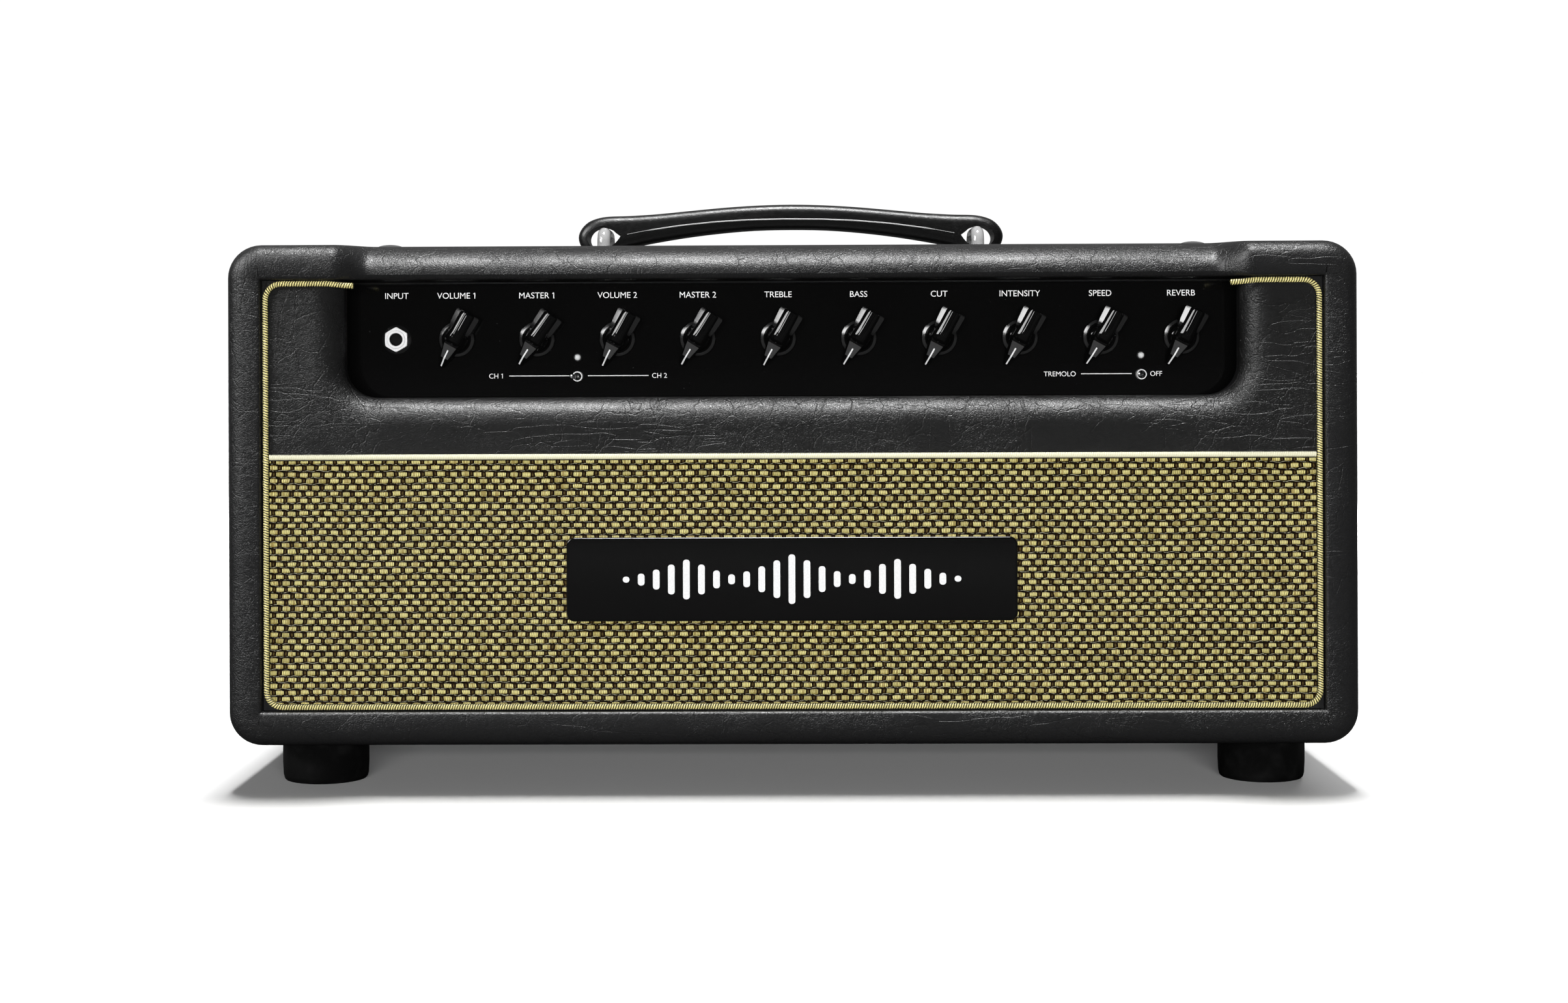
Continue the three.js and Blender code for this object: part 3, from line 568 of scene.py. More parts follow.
# ------------------------------------------------------------------ case
def case_shell():
    """A skin swept round the four boards: the section runs from the inside of a
    board over its front or rear edge to the outside. The top's front edge sits
    back between its two ends, under a fatter round."""
    outline = []
    half_x, half_z, mid_z = RIGHT - CORNER, (TOP - BOTTOM) / 2 - CORNER, (TOP + BOTTOM) / 2
    for x in sorted(set(spaced(-half_x, half_x, 14) + spaced(-246, -206, 1.5)
                        + spaced(206, 246, 1.5))):
        outline.append(((x, TOP), (x, INNER_HIGH), 1.0 - smooth(abs(x), 214, 232)))
    for cx, cz, ix, iz, first in (
            (half_x, mid_z + half_z, INNER_X, INNER_HIGH, 90),
            (half_x, mid_z - half_z, INNER_X, INNER_LOW, 0),
            (-half_x, mid_z - half_z, -INNER_X, INNER_LOW, -90),
            (-half_x, mid_z + half_z, -INNER_X, INNER_HIGH, -180)):
        for point in arc(cx, cz, CORNER, first, first - 90, 10)[1:-1]:
            outline.append((point, (ix, iz), 0.0))
        if first == 90:
            outline += [((RIGHT, z), (INNER_X, z), 0.0)
                        for z in spaced(mid_z + half_z, mid_z - half_z, 14)]
        if first == 0:
            outline += [((x, BOTTOM), (x, INNER_LOW), 0.0) for x in spaced(half_x, -half_x, 14)]
        if first == -90:
            outline += [((LEFT, z), (-INNER_X, z), 0.0)
                        for z in spaced(mid_z - half_z, mid_z + half_z, 14)]
    rings = []
    for (ox, oz), (ix, iz), back in outline:
        edge = EDGE + 3.5 * back
        deep = edge + 9.0 * back
        front = FRONT + 10.0 * back
        lip = 1.6 + 1.2 * back
        section = [(BOARD, 40.0), (BOARD, BACK - 1.5), (BOARD - 0.5, BACK - 0.4), (BOARD - 1.5, BACK)]
        section += [(EDGE - EDGE * math.sin(t), BACK - EDGE + EDGE * math.cos(t))
                    for t in (math.radians(9 * i) for i in range(11))]
        section += [(0.0, y) for y in spaced(BACK - EDGE - 12, FRONT + 38, 14)]
        square = 0.8 + 0.2 * back
        section += [(edge - edge * math.cos(t) ** square, front + deep - deep * math.sin(t) ** square)
                    for t in (math.radians(6.4 * i) for i in range(15))]
        section += [(BOARD - lip, front), (BOARD - lip * 0.3, front + lip * 0.3),
                    (BOARD, front + lip), (BOARD, front + 6.0), (BOARD, FRONT + 40.0)]
        ring = []
        for n, y in section:
            t = n / BOARD
            x, z = ox + (ix - ox) * t, oz + (iz - oz) * t
            swell = 0.16 * wander(x + y * 0.7, z - y, 0.4) if 0 < t < 1 else 0.0
            ring.append((x, y + swell * (1 if y > 0 else -1) * 0.4, z))
        rings.append(ring)
    verts, faces = loft(rings, closed=True, caps=False, loop=True)
    shell = piece("case_covering", verts, faces, [VINYL], sharp=60)
    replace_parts(shell, "cabinet_shell")
    return shell


def cloth_corners(margin):
    """Low and high corner, (x, z), of the visible cloth, which reaches under the piping."""
    reach = 1.4 + margin
    return ((CLOTH_X0 - reach, CLOTH_Z0 - reach), (CLOTH_X1 + reach, CLOTH_Z1 + margin))


WINDOW_X, WINDOW_LOW, WINDOW_CORNER, LIP = 227.7, 199.0, 16.0, 13.5


def baffle():
    """The upper front board: a window, open at the top, with a fat rolled lip."""
    inner = [((-WINDOW_X, z), (-1, 0)) for z in spaced(BAFFLE_HIGH, WINDOW_LOW + WINDOW_CORNER, 6)]
    for cx, first in ((-WINDOW_X + WINDOW_CORNER, 180), (WINDOW_X - WINDOW_CORNER, 270)):
        cz = WINDOW_LOW + WINDOW_CORNER
        for i in range(13):
            t = math.radians(first + 90 * i / 12)
            inner.append(((cx + WINDOW_CORNER * math.cos(t), cz + WINDOW_CORNER * math.sin(t)),
                          (math.cos(t), math.sin(t))))
        if first == 180:
            inner += [((x, WINDOW_LOW), (0, -1))
                      for x in spaced(cx, -cx, 8)][1:-1]
    inner += [((WINDOW_X, z), (1, 0)) for z in spaced(WINDOW_LOW + WINDOW_CORNER, BAFFLE_HIGH, 6)]
    split = CLOTH_Z1 + 0.8
    depth = 12.5
    rings = []
    for (x, z), (dx, dz) in inner:
        section = [(0.0, BAFFLE_BACK), (0.0, BAFFLE_Y + depth + 1)]
        section += [(LIP * (1 - math.cos(t)), BAFFLE_Y + depth - (depth + 0.5) * math.sin(t))
                    for t in (math.radians(7.5 * i) for i in range(13))]
        ring = [(x + dx * out, y, z + dz * out) for out, y in section]
        edge_x = math.copysign(BAFFLE_X, x) if abs(dx) > 0.01 else x * BAFFLE_X / WINDOW_X
        edge_z = split if dz < -0.01 else z
        if abs(dx) > 0.01 and dz < -0.01:
            share = abs(dx) / (abs(dx) + abs(dz))
            corner_x = math.copysign(BAFFLE_X, x)
            if share > 0.5:
                edge_x, edge_z = corner_x, split + (z - split) * (share - 0.5) * 2
            else:
                near = x + (corner_x - x) * share * 2
                edge_x, edge_z = near, split
        last = ring[-1]
        for part in (0.15, 0.4, 0.7, 0.93, 1.0):
            px, pz = last[0] + (edge_x - last[0]) * part, last[2] + (edge_z - last[2]) * part
            ring.append((px, BAFFLE_Y - 0.35 * (1 - part) + 0.10 * wander(px, pz, 2.0), pz))
        ring.append((edge_x, BAFFLE_Y + 3.0, edge_z))
        rings.append(ring)
    verts, faces = loft(rings, closed=False, caps=False)
    board = piece("baffle_covering", verts, faces, [BAFFLE_VINYL], sharp=60)
    (x0, z0), (x1, z1) = cloth_corners(0.2)
    rim = [
        [(-BAFFLE_X, BAFFLE_Y, BAFFLE_LOW), (BAFFLE_X, BAFFLE_Y, BAFFLE_LOW),
         (BAFFLE_X, BAFFLE_Y, split), (-BAFFLE_X, BAFFLE_Y, split)],
        [(x0, BAFFLE_Y, z0), (x1, BAFFLE_Y, z0), (x1, BAFFLE_Y, z1), (x0, BAFFLE_Y, z1)],
    ]
    rim.append([(x, BAFFLE_Y + 1.8, z) for x, _, z in rim[1]])
    back = [(x, BAFFLE_BACK, z) for x, _, z in rim[0]]
    lower = piece("baffle_lower_board", *loft([back] + rim), [PLASTIC])
    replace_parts(board, "front_baffle")
    return lower


def grille():
    """The stretched cloth, drawn back a little at its edges."""
    (x0, z0), (x1, z1) = cloth_corners(0)
    rings = []
    for z in spaced(z0, z1, 2.6):
        ring = []
        for x in spaced(x0, x1, 2.6):
            edge = min(x - x0, x1 - x, z - z0, z1 - z)
            pulled = 0.3 * (1 - smooth(edge, 0, 2.5))
            ring.append((x, CLOTH_Y + 0.15 + pulled + 0.10 * wander(x * 2, z * 2, 5.0), z))
        rings.append(ring)
    verts, faces = loft(rings, closed=False, caps=False)
    cloth = piece("grille_weave", verts, faces, [CLOTH])
    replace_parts(cloth, "grille_cloth")
    (x1 - x0) * MM
    (z1 - z0) * MM
    return cloth


def tube(name, path, radius, material, node):
    """A cord along a path that faces the front, with u along it and v round it."""
    rings, uvs, gone, sides = [], [], 0.0, 14
    up = Vector((0, 1, 0))
    points = [Vector(p) for p in path]
    for i, point in enumerate(points):
        before, after = points[max(i - 1, 0)], points[min(i + 1, len(points) - 1)]
        across = (after - before).cross(up).normalized()
        gone += (point - points[i - 1]).length if i else 0.0
        rings.append([point + (across * math.cos(t) + up * math.sin(t)) * radius
                      for t in around(sides)])
        uvs += [(gone, k / sides if k <= sides / 2 else 1 - k / sides) for k in range(sides)]
    made = piece(name, *loft(rings), [material], uvs=uvs)
    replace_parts(made, node)


def piping():
    y = BAFFLE_Y - 1.85
    x, low, high, corner, end = 265.5, 43.2, 257.0, 8.0, 221.0

    def top_run(start, stop):
        """The run along the top, which droops towards its cut end."""
        return [(px, y, high - 1.2 * (1 - smooth(abs(px), end, end + 15)))
                for px in spaced(start, stop, 4)]

    path = top_run(-end, -x + corner)
    path += [(px, y, pz) for px, pz in arc(-x + corner, high - corner, corner, 90, 180, 8)[1:]]
    path += [(-x, y, pz) for pz in spaced(high - corner, low + corner, 4)[1:]]
    path += [(px, y, pz) for px, pz in arc(-x + corner, low + corner, corner, 180, 270, 8)[1:]]
    path += [(px, y, low) for px in spaced(-x + corner, x - corner, 4)[1:]]
    path += [(px, y, pz) for px, pz in arc(x - corner, low + corner, corner, 270, 360, 8)[1:]]
    path += [(x, y, pz) for pz in spaced(low + corner, high - corner, 4)[1:]]
    path += [(px, y, pz) for px, pz in arc(x - corner, high - corner, corner, 0, 90, 8)[1:]]
    path += top_run(x - corner, end)[1:]
    tube("gold_piping_round", path, 1.42, GOLD_CORD, "piping_outer")
    tube("piping_between", [(px, y, 169.3) for px in spaced(-263.6, 263.6, 4)], 1.4,
         CREAM_CORD, "piping_divider")


def rounded(x0, z0, x1, z1, r, steps=8):
    """Outline of a rounded rectangle as (x, z)."""
    return (arc(x1 - r, z0 + r, r, -90, 0, steps) + arc(x1 - r, z1 - r, r, 0, 90, steps)
            + arc(x0 + r, z1 - r, r, 90, 180, steps) + arc(x0 + r, z0 + r, r, 180, 270, steps))


def plate():
    """The gloss plate on the cloth, with a plain row of bars printed on it."""
    (x0, y0, z0), (x1, y1, z1) = extent("badge_plate")
    rings = []
    for grow, y in ((0.0, y1), (0.0, y0 + 0.7), (-0.2, y0 + 0.25), (-0.6, y0 + 0.02), (-1.2, y0)):
        rings.append([(x, y, z) for x, z in rounded(
            x0 - grow, z0 - grow, x1 + grow, z1 + grow, 4.0 + grow)])
    made = piece("gloss_plate", *loft(rings), [PLATE_BLACK])
    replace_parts(made, "badge_plate")
    centre = (z0 + z1) / 2
    parts = []
    heights = [3, 6, 10, 15, 20, 15, 9, 5, 8, 13, 19, 25, 19, 13, 8, 5, 9, 15, 20, 15, 10, 6, 3]
    for i, height in enumerate(heights):
        x = (i - (len(heights) - 1) / 2) * 7.6
        shape = [(x + px, y0 - 0.06, centre + pz)
                 for px, pz in rounded(-1.7, -height / 2, 1.7, height / 2, 1.45, 4)]
        back = [(px, y0 + 0.05, pz) for px, _, pz in shape]
        parts.append(loft([back, shape]))
    piece("plate_bars", *merged(*parts), [BRIGHT_INK])


# ------------------------------------------------------------------ controls
CONTROLS = ("volume_1", "master_1", "volume_2", "master_2", "treble", "bass", "cut",
            "intensity", "speed", "reverb")
JOINT_PLACES = {joint["name"]: [c / MM for c in joint["pos_m"]]
                for joint in frame["joints"] if "pos_m" in joint}
PLACES = {control: JOINT_PLACES[f"turn_{control}"] for control in CONTROLS}


def between(stations, along):
    """Values at a place along a list of stations, each (place, value, ...)."""
    for before, after in zip(stations, stations[1:]):
        if along <= after[0]:
            t = (along - before[0]) / (after[0] - before[0])
            return [p + (q - p) * t for p, q in zip(before[1:], after[1:])]
    return list(stations[-1][1:])


# along the bar: place, half width at the foot, half width of the crown, height, crown's sag
BAR = [(-15.3, 5.6, 2.9, 14.6, 1.2), (-15.1, 6.0, 3.3, 15.4, 1.6), (-14.6, 6.3, 3.6, 15.9, 1.9),
       (-13.8, 6.4, 3.7, 16.0, 2.0), (-7.5, 6.1, 3.7, 16.0, 2.0), (-5.0, 5.6, 3.8, 16.0, 2.1),
       (-2.5, 5.2, 4.2, 15.9, 2.6), (-0.5, 5.3, 4.6, 15.7, 3.1), (1.4, 5.2, 4.6, 15.2, 3.1),
       (2.3, 5.0, 4.2, 14.2, 2.0), (3.0, 4.7, 3.6, 13.0, 0.5), (3.9, 4.5, 3.4, 12.4, 0.05),
       (11.2, 2.6, 1.9, 9.2, 0.05), (11.5, 2.5, 1.8, 8.9, 0.05), (15.8, 1.3, 0.8, 4.4, 0.05),
       (16.2, 1.0, 0.6, 3.6, 0.05)]
BAR_BASE = 2.4
FLUTES = (-0.28, 0.02, 0.32)


def bar_section(along):
    """Across the bar: slanted flanks, rounded shoulders and a fluted crown."""
    foot, crown, height, sag = between(BAR, along)
    fluted = smooth(-along, -0.5, 1.5) * (1.0 - smooth(-along, 14.2, 15.2))
    left = [(-foot, BAR_BASE), (-foot, height - sag - 2.2), (-crown - 0.30, height - sag - 0.75),
            (-crown - 0.12, height - sag - 0.30)]
    top = []
    for i in range(33):
        u = -1 + i / 16
        dip = sum(math.exp(-((u - flute) / 0.05) ** 2) for flute in FLUTES)
        top.append((u * crown, height - sag * abs(u) ** 2.2 - 0.20 * fluted * dip))
    right = [(-x, h) for x, h in reversed(left)]
    return [(x, -h, -along) for x, h in left + top + right]


def knob_shape():
    """A pointer knob pointing straight down at the origin, on the plane y = 0: a flat
    skirt with a bevelled ring, a hub, and a bar whose beak slopes to its tip. The marks
    are 0 for gloss, 1 for the white line, 2 for the beak's satin facet, painted a lighter
    grey as a painted reflection, and 3 for the satin flanks and ring, painted a little
    lighter than the gloss as a painted sheen."""
    profile = [(9.2, 0.9), (9.4, 1.1), (9.4, 2.0), (9.2, 2.3), (9.0, 2.4), (7.65, 3.3),
               (7.5, 3.35), (7.1, 2.9), (6.9, 2.9), (6.6, 3.6), (6.2, 5.2), (5.2, 6.2),
               (4.4, 6.6), (4.2, 9.5), (3.0, 12.0), (0.5, 12.2)]
    sides = 56
    skirt = turned(profile, (0, 0, 0), sides=sides)
    # the bevelled ring takes the flanks' lighter painted sheen
    ring = profile.index((9.0, 2.4))
    marks = [3 if i // sides == ring else 0 for i in range(len(skirt[1]))]
    stations = sorted(set(spaced(-15.3, 16.2, 0.5) + [station[0] for station in BAR]))
    sections = [bar_section(along) for along in stations]
    bar = loft(sections)
    size = len(sections[0])
    for i in range(len(bar[1])):
        along, across = stations[min(i // size, len(stations) - 1)], i % size
        # the flanks take the lighter painted sheen and the beak facet the grey painted reflection
        flank = across in (1, size - 3) and along < -4.5
        beak = 3.9 <= along < 11.2 and 3 <= across <= size - 5
        marks.append(3 if flank else 2 if beak else 0)
    line_rings = []
    for along in spaced(6.6, 15.9, 0.5) + [11.2, 11.7]:
        height = between(BAR, along)[2]
        line_rings.append([(-0.38, 0.1 - height, -along), (-0.38, -0.09 - height, -along),
                           (0.38, -0.09 - height, -along), (0.38, 0.1 - height, -along)])
    line_rings.sort(key=lambda ring: -ring[0][2])
    mark = loft(line_rings)
    verts, faces = merged(skirt, bar, mark)
    return verts, faces, marks + [1] * len(mark[1])


POINTER_TURNS = (29.5, 35, 28.5, 32, 28.5, 30, 28, 28, 29, 27)


def knobs():
    """One shape for every control, each left at its own place near seven o'clock."""
    verts, faces, marks = knob_shape()
    for (control, (x, y, z)), degrees in zip(PLACES.items(), POINTER_TURNS):
        turn = math.radians(degrees)
        placed = [(x + vx * math.cos(turn) + vz * math.sin(turn), y + vy,
                   z - vx * math.sin(turn) + vz * math.cos(turn)) for vx, vy, vz in verts]
        made = piece(f"pointer_{control}", placed, faces, [KNOB_BLACK, BRIGHT_INK, KNOB_FACET_PAINTED_REFLECTION, KNOB_FLANK_PAINTED_SHEEN],
                     f"control_{control}", marks=marks, sharp=26)
        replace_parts(made, f"knob_{control}")


def write(text, x, z, cap, parts, align="CENTER"):
    """Adds flat lettering of a cap height on the panel to parts; z is the baseline.
    A closing 1 gets a flag, which the built-in face leaves off."""
    curve = bpy.data.curves.new("lettering", "FONT")
    curve.body = text
    curve.align_x = align
    curve.size = cap / 0.69
    curve.resolution_u = 5
    made = bpy.data.objects.new("lettering", curve)
    mesh = bpy.data.meshes.new_from_object(made)
    verts = [(x + v.co.x, INK_Y, z + v.co.y) for v in mesh.vertices]
    parts.append((verts, [tuple(p.vertices) for p in mesh.polygons]))
    if text.endswith("1"):
        right, top = max(v[0] for v in verts), max(v[2] for v in verts)
        edge = right - 0.13 * cap
        flag = ((0, 0), (0, -0.16), (-0.20, -0.29), (-0.20, -0.16))
        parts.append(([(edge + a * cap, INK_Y, top + b * cap) for a, b in flag], [(0, 1, 2, 3)]))
    bpy.data.objects.remove(made)
    bpy.data.curves.remove(curve)
    bpy.data.meshes.remove(mesh)


def lettering_and_lines():
    """Plain words for what each control does, and a line to each side of a switch."""
    parts = []
    row, cap = 250.2, 3.05
    write("INPUT", -205.1, row, cap, parts)
    for control, place in PLACES.items():
        write(control.replace("_", " ").upper(), place[0], row, cap, parts)
    low, cap = 208.6, 2.5
    write("CH 1", -157.2, low, cap, parts, "LEFT")
    write("CH 2", -72.4, low, cap, parts, "LEFT")
    write("TREMOLO", 131.0, low, cap, parts, "LEFT")
    write("OFF", 186.0, low, cap, parts, "LEFT")
    for x0, x1 in ((-146.6, -115.1), (-105.6, -74.1), (150.3, 176.6)):
        z0, z1 = low + 1.05, low + 1.45
        parts.append(([(x, INK_Y, z) for x, z in ((x0, z0), (x1, z0), (x1, z1), (x0, z1))],
                      [(0, 1, 2, 3)]))
    made = piece("panel_lettering", *merged(*parts), [WHITE_INK])


def jack():
    """The input jack: washer, hex nut and a threaded sleeve whose rim is plated."""
    x, _, z = middle("input_jack_nut")
    washer = turned([(7.6, 0.02), (7.6, 0.7), (7.2, 1.0), (5.2, 1.0)], (x, PANEL_Y, z), sides=40)
    piece("jack_washer", *washer, [DARK_WASHER])
    rings = []
    for radius, along in ((4.8, 1.0), (6.4, 1.0), (6.5, 1.4), (6.5, 2.7), (6.1, 3.1), (4.8, 3.2)):
        ring = []
        for t in around(48):
            corner = t % (math.pi / 3) - math.pi / 6
            flat = radius if radius < 5.5 else min(radius, 5.72 / math.cos(corner))
            ring.append((x + flat * math.sin(t), PANEL_Y - along, z + flat * math.cos(t)))
        rings.append(ring)
    nut = piece("jack_hex_nut", *loft(rings, caps=False, loop=True), [NICKEL], sharp=25)
    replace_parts(nut, "input_jack_nut")
    profile = [(3.3, -18.0), (3.3, 3.0), (3.4, 3.6), (3.6, 3.8), (4.4, 3.8), (4.75, 3.5),
               (4.75, 0.0), (8.9, -0.5), (8.9, -22.0), (3.3, -22.0)]
    sides = 40
    rings = [hoop(x, PANEL_Y - along, z, radius, sides) for radius, along in profile]
    verts, faces = loft(rings, caps=False, loop=True)
    marks = [1 if 1 <= i // sides <= 5 else 0 for i in range(len(faces))]
    sleeve = piece("jack_sleeve", verts, faces, [RUBBER, NICKEL], marks=marks, sharp=30)
    end = turned([(3.28, -17.9), (0.1, -17.8)], (x, PANEL_Y, z), sides=24)
    piece("jack_socket_end", *end, [RUBBER])
    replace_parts(sleeve, "input_jack_body")


def switches():
    """Two mini toggles, left at rest, each with a lamp above it."""
    for name in ("channel", "tremolo"):
        x, y, z = JOINT_PLACES[f"flip_{name}"]
        lamp_z = middle(f"led_{name}")[2]
        profile = ((2.05, -1.5), (2.05, 3.1), (2.15, 3.3), (2.55, 3.3), (2.68, 3.05),
                   (2.68, 2.6), (2.62, 2.4), (2.68, 2.2), (2.68, -1.5))
        rings = [hoop(x, PANEL_Y - along, z, radius, 28) for radius, along in profile]
        piece(f"toggle_bushing_{name}", *loft(rings, caps=False, loop=True), [NICKEL])
        lean = math.radians(-12)
        bat = turned([(0.5, -1.6), (1.2, -1.2), (1.6, 0.0), (1.2, 1.1), (0.85, 2.2), (0.85, 3.5),
                      (1.0, 5.0), (1.25, 7.2), (1.35, 8.4), (1.2, 9.0), (0.7, 9.35), (0.1, 9.45)],
                     (x, y, z), (math.sin(lean), -math.cos(lean), 0), 24)
        lever = piece(f"toggle_bat_{name}", *bat, [CHROME], f"switch_{name}")
        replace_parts(lever, f"toggle_lever_{name}")
        lens = turned([(1.65, -8.0), (1.65, 0.9), (1.5, 1.6), (1.15, 2.2), (0.6, 2.6), (0.1, 2.7)],
                      (x, PANEL_Y, lamp_z), sides=24)
        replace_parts(piece(f"lamp_{name}", *lens, [LENS]), f"led_{name}")
        bezel = turned([(2.15, 0.02), (2.15, 0.35), (1.9, 0.5), (1.7, 0.5)], (x, PANEL_Y, lamp_z),
                       sides=28)
        piece(f"lamp_ring_{name}", *bezel, [PLASTIC])


# ------------------------------------------------------------------ handle
STRAP_TOP = [(0, 26.4), (18, 26.0), (36, 24.9), (54, 23.3), (72, 21.6), (84, 20.8), (91, 20.5),
             (97, 20.4), (102, 20.1), (107, 19.1), (111.5, 17.2), (115, 13.9), (116.9, 9.9),
             (116.6, 6.0), (114.7, 2.6), (111.2, 0.6)]
STRAP_UNDER = [(103, 0.5), (97, 1.3), (90, 2.9), (80, 5.2), (60, 8.6), (40, 11.1), (20, 12.7),
               (0, 13.1)]
# the loop's opening, pointed where the strap's two layers meet
STRAP_LOOP = [(93.0, 10.2), (96.5, 5.3), (100.5, 3.2), (105, 2.6), (109, 3.4), (111.4, 6.0),
              (111.6, 9.4), (109.6, 12.6), (106, 14.4), (102, 14.6), (98.4, 13.0), (95.4, 10.4)]


def curved(points, steps=3):
    """A closed smooth curve through points."""
    count = len(points)
    dense = []
    for i in range(count):
        p0, p1, p2, p3 = (points[(i + k - 1) % count] for k in range(4))
        for s in range(steps):
            t = s / steps
            dense.append(0.5 * ((2 * p1) + (p2 - p0) * t + (2 * p0 - 5 * p1 + 4 * p2 - p3) * t * t
                                + (3 * p1 - p0 - 3 * p2 + p3) * t * t * t))
    return dense


def strap():
    """A wrapped strap: rounded leather sides, a seam along its edge and a loop at
    each end round the bracket's bar."""
    half = 13.0
    outline = STRAP_TOP + STRAP_UNDER
    right = [Vector((x, 0, TOP + h)) for x, h in outline]
    left = [Vector((-x, 0, TOP + h)) for x, h in reversed(outline[1:-1])]
    dense = curved(right + left)
    hole = curved([Vector((x, 0, TOP + h)) for x, h in STRAP_LOOP])
    rings = []
    # across the strap: place, inset from the outline
    across = ((0.0, 5.0), (0.25, 3.6), (0.9, 2.2), (2.0, 1.1), (3.6, 0.4), (6.0, 0.0))
    for y, inset in ([(in_by - half, inset) for in_by, inset in across]
                     + [(half - in_by, inset) for in_by, inset in reversed(across)]):
        ring = []
        for i, point in enumerate(dense):
            ahead, behind = dense[(i + 1) % len(dense)], dense[i - 1]
            along = (ahead - behind).normalized()
            inward = Vector((along.z, 0, -along.x))
            ring.append(point + inward * inset + Vector((0, y, 0)))
        rings.append(ring)
    made = piece("strap", *loft(rings), [STRAP], "handle", sharp=70)
    # a loop is cut through at each end
    for sign in (-1, 1):
        tool_rings = [[(sign * p.x, y, p.z) for p in hole] for y in (-half - 4, half + 4)]
        cutter = piece("loop_cutter", *loft(tool_rings), [STRAP], "handle")
        cut = made.modifiers.new("loop", "BOOLEAN")
        cut.operation = "DIFFERENCE"
        cut.solver = "EXACT"
        cut.object = cutter
        shape = bpy.data.meshes.new_from_object(
            made.evaluated_get(bpy.context.evaluated_depsgraph_get()))
        made.modifiers.clear()
        made.data = shape
        bpy.data.objects.remove(cutter)
    made.data.shade_smooth()
    made.data.set_sharp_from_angle(angle=math.radians(60))
    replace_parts(made, "handle_strap")
    # the edge of the lower layer, which shows below the upper one on both faces; it is black leather
    # painted pale grey, a painted highlight
    for side in (-1, 1):
        rings = []
        for x in spaced(-90, 90, 2):
            thin = 1.0 - 0.6 * smooth(abs(x), 76, 80)
            z = TOP + 18.2 - 3.68e-4 * abs(x) ** 2.22 + 0.10 * wander(x * 3, 0.0, 1.0)
            rings.append([(x, side * (half + dy * thin), z + dz * thin) for dy, dz in
                          ((-0.9, -0.6), (0.25, -0.40), (0.40, 0.0), (0.25, 0.22), (-0.9, 0.30))])
        piece(f"strap_seam_{'front' if side < 0 else 'rear'}", *loft(rings), [STRAP_EDGE_HIGHLIGHT], "handle")


def brackets():
    """The two bent rods that hold the strap, with a collar round each leg."""
    for side in ("left", "right"):
        low, high = extent(f"handle_bracket_{side}")
        x, rod = (low[0] + high[0]) / 2, (high[0] - low[0]) / 2
        leg, bar, bend = high[1] - rod, high[2] - rod, 5.5
        path = [(-leg, TOP + 0.3), (-leg, TOP + 2.0)]
        path += arc(-leg + bend, bar - bend, bend, 180, 90, 8)
        path += arc(leg - bend, bar - bend, bend, 90, 0, 8)
        path += [(leg, TOP + 2.0), (leg, TOP + 0.3)]
        rings = []
        points = [Vector((x, y, z)) for y, z in path]
        for i, point in enumerate(points):
            way = points[min(i + 1, len(points) - 1)] - points[max(i - 1, 0)]
            across = way.cross(Vector((1, 0, 0))).normalized()
            rings.append([point + (across * math.cos(t) + Vector((1, 0, 0)) * math.sin(t)) * rod
                          for t in around(28)])
        made = piece(f"bracket_{side}", *loft(rings), [POST])
        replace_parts(made, f"handle_bracket_{side}")
        for end, y in (("front", -leg), ("rear", leg)):
            collar = turned([(5.6, 0.02), (5.6, 0.5), (5.0, 1.1), (3.9, 1.2)], (x, y, TOP),
                            (0, 0, 1), 28)
            piece(f"collar_{side}_{end}", *collar, [CHROME])


# ------------------------------------------------------------------ feet, bolts, back
def feet():
    """Rubber feet with a screw in the recess of each."""
    for name in CORNERS:
        low, high = extent(f"foot_{name}")
        x, y, _ = middle(f"foot_{name}")
        r, top = (high[0] - low[0]) / 2, high[2]
        profile = [(0.1, 12.0), (5.6, 12.0), (6.0, 11.6), (6.0, 0.4), (6.5, 0.0), (19.8, 0.0),
                   (20.8, 0.25), (21.4, 0.9), (r - 0.3, 3.0), (r, 9.0), (r, top - 1.5),
                   (r - 0.35, top - 0.5), (r - 1.2, top), (0.1, top)]
        foot = piece(f"rubber_foot_{name}", *turned(profile, (x, y, 0), (0, 0, 1), 56), [RUBBER])
        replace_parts(foot, f"foot_{name}")
        screw = turned([(4.6, 12.1), (4.6, 11.0), (4.2, 9.6), (3.0, 8.9), (0.1, 8.7)],
                       (x, y, 0), (0, 0, 1), 24)
        piece(f"foot_screw_{name}", *screw, [ZINC])


def bolts():
    """The domed bolts in the top that hold the chassis."""
    for name in CORNERS:
        x, y, _ = middle(f"chassis_bolt_{name}")
        profile = [(3.0, -27.0), (3.0, 0.3), (7.6, 0.3), (8.0, 0.5), (8.0, 0.95)]
        profile += [(8.0 * math.cos(t), 0.95 + 2.65 * math.sin(t))
                    for t in (math.radians(9 * i) for i in range(1, 10))]
        bolt = piece(f"bolt_{name}", *turned(profile, (x, y, TOP), (0, 0, 1), 40), [CHROME])
        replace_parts(bolt, f"chassis_bolt_{name}")


def cad_looks():
    """Materials for the CAD nodes that keep their own shape."""
    looks = {"control_panel": PANEL_BLACK, "back_panel": VINYL, "chassis": ZINC,
             "pot_board": CIRCUIT, "mains_inlet": PLASTIC, "switch_housing": PLASTIC,
             "speaker_jack": PLASTIC, "power_rocker": KNOB_BLACK, "standby_rocker": KNOB_BLACK,
             "power_transformer": CORE, "output_transformer": CORE}
    looks.update({f"shaft_{control}": ZINC for control in CONTROLS})
    looks.update({node: GLASS for node in frame["nodes"] if "_tube_" in node})
    looks.update({node: PLASTIC for node in frame["nodes"] if node.startswith("toggle_body_")})
    for node, material in looks.items():
        look(node, material)


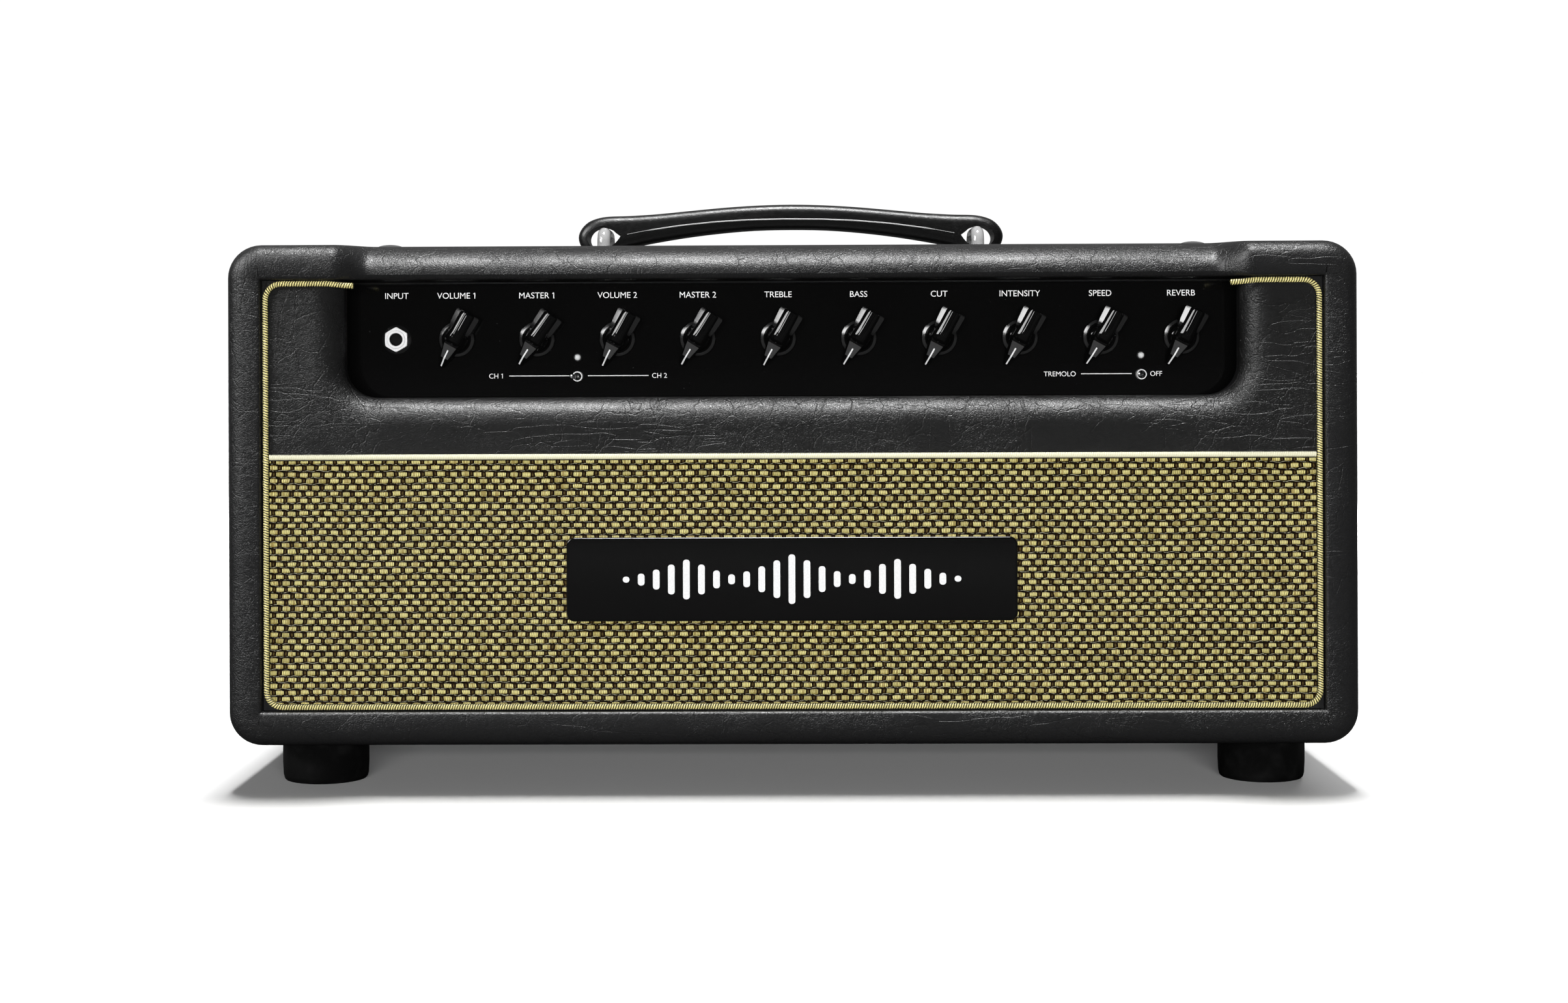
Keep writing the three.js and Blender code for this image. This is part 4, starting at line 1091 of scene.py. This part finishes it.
def back_screws():
    """Cupped screws round the back panel."""
    (x0, _, z0), (x1, y1, z1) = extent("back_panel")
    parts = []
    for x in (x0 + 14, x0 * 0.36, x1 * 0.36, x1 - 14):
        for z in (z0 + 13, z1 - 13):
            parts.append(turned([(6.2, 0.02), (6.2, 0.4), (4.6, 1.5), (3.6, 1.2)], (x, y1, z),
                                (0, 1, 0), 28))
            parts.append(turned([(3.7, 0.8), (3.6, 1.5), (2.6, 2.0), (0.1, 2.2)], (x, y1, z),
                                (0, 1, 0), 24))
    piece("back_screws", *merged(*parts), [CHROME])


# ------------------------------------------------------------------ studio
def lamp(name, kind, place, aim, power, **rays):
    """A light at a place, facing an aim. rays turns off what it should not light."""
    light = bpy.data.lights.new(name, kind)
    light.energy = power
    made = bpy.data.objects.new(name, light)
    made.location = place
    made.rotation_euler = (Vector(aim) - Vector(place)).to_track_quat("-Z", "Y").to_euler()
    for ray, seen in rays.items():
        setattr(made, f"visible_{ray}", seen)
    bpy.context.scene.collection.objects.link(made)
    return light


def sun(name, tilt, softness, power, **rays):
    """A distant light that comes down from tilt degrees in front of straight overhead."""
    lean = math.tan(math.radians(tilt))
    light = lamp(name, "SUN", (0, -lean, 1), (0, 0, 0), power, **rays)
    light.angle = math.radians(softness)


def area(name, place, target, size, power, **rays):
    light = lamp(name, "AREA", place, target, power, **rays)
    light.shape = "RECTANGLE"
    light.size, light.size_y = size


def sky():
    """White behind the object, and a dim fill that is stronger behind than in front."""
    world = bpy.data.worlds.new("studio")
    bpy.context.scene.world = world
    world.use_nodes = True
    nodes, links = world.node_tree.nodes, world.node_tree.links
    fill = nodes["Background"]
    where = nodes.new("ShaderNodeTexCoord")
    split = nodes.new("ShaderNodeSeparateXYZ")
    links.new(where.outputs["Generated"], split.inputs[0])
    ramp = nodes.new("ShaderNodeMapRange")
    for key, value in (("From Min", 0.05), ("From Max", 0.75), ("To Min", 0.012), ("To Max", 0.2)):
        ramp.inputs[key].default_value = value
    links.new(split.outputs["Y"], ramp.inputs["Value"])
    links.new(ramp.outputs[0], fill.inputs["Strength"])
    fill.inputs["Color"].default_value = (1, 1, 1, 1)
    seen = nodes.new("ShaderNodeBackground")
    seen.inputs["Color"].default_value = (1, 1, 1, 1)
    seen.inputs["Strength"].default_value = 1.05
    ray = nodes.new("ShaderNodeLightPath")
    choose = nodes.new("ShaderNodeMixShader")
    links.new(ray.outputs["Is Camera Ray"], choose.inputs[0])
    links.new(fill.outputs[0], choose.inputs[1])
    links.new(seen.outputs[0], choose.inputs[2])
    links.new(choose.outputs[0], nodes["World Output"].inputs["Surface"])


def studio():
    """A pale floor that looks white to the camera and dim to the object, and soft lights."""
    scene = bpy.context.scene
    mesh = bpy.data.meshes.new("floor")
    size = 40.0
    mesh.from_pydata([(-size, -size, 0), (size, -size, 0), (size, size, 0), (-size, size, 0)],
                     [], [(0, 1, 2, 3)])
    floor = bpy.data.objects.new("floor", mesh)
    scene.collection.objects.link(floor)
    net = Net("pale_floor")
    seen = Value(net, net.add("ShaderNodeLightPath").outputs["Is Camera Ray"])
    net.colour(net.mix(seen, (0.02, 0.02, 0.02), (0.74, 0.74, 0.74)))
    net.set(Roughness=0.8, Specular_IOR_Level=0.1, Emission_Color=(1, 1, 1, 1),
            Emission_Strength=seen * 0.028)
    mesh.materials.append(net.material)
    sky()

    sun("overhead", -6, 9, 4.4, glossy=False)
    sun("sheen", 10, 18, 6.0, diffuse=False)
    area("front_fill", (0, -2.2, 0.32), (0, -0.1, 0.15), (1.2, 0.3), 50, glossy=False)
    area("left_softbox", (-1.65, -1.15, 1.25), (-0.1, -0.1, 0.23), (1.3, 1.0), 46, diffuse=False)
    area("back_fill", (0.5, 2.2, 0.8), (0, 0.1, 0.15), (1.4, 0.5), 90, glossy=False)

    camera = bpy.data.cameras.new("camera")
    camera.lens = 54.37
    camera.sensor_width = 36.0
    camera.shift_x = 0.0129
    camera.shift_y = -0.0882
    made = bpy.data.objects.new("camera", camera)
    made.location = (0.0, -1.314, 0.216)
    made.rotation_euler = (math.radians(90), math.radians(0.228), math.radians(0.66))
    scene.collection.objects.link(made)
    scene.camera = made
    scene.view_settings.view_transform = "Standard"


case_shell()
baffle()
grille()
piping()
plate()
lettering_and_lines()
knobs()
jack()
switches()
strap()
brackets()
feet()
bolts()
cad_looks()
back_screws()
studio()
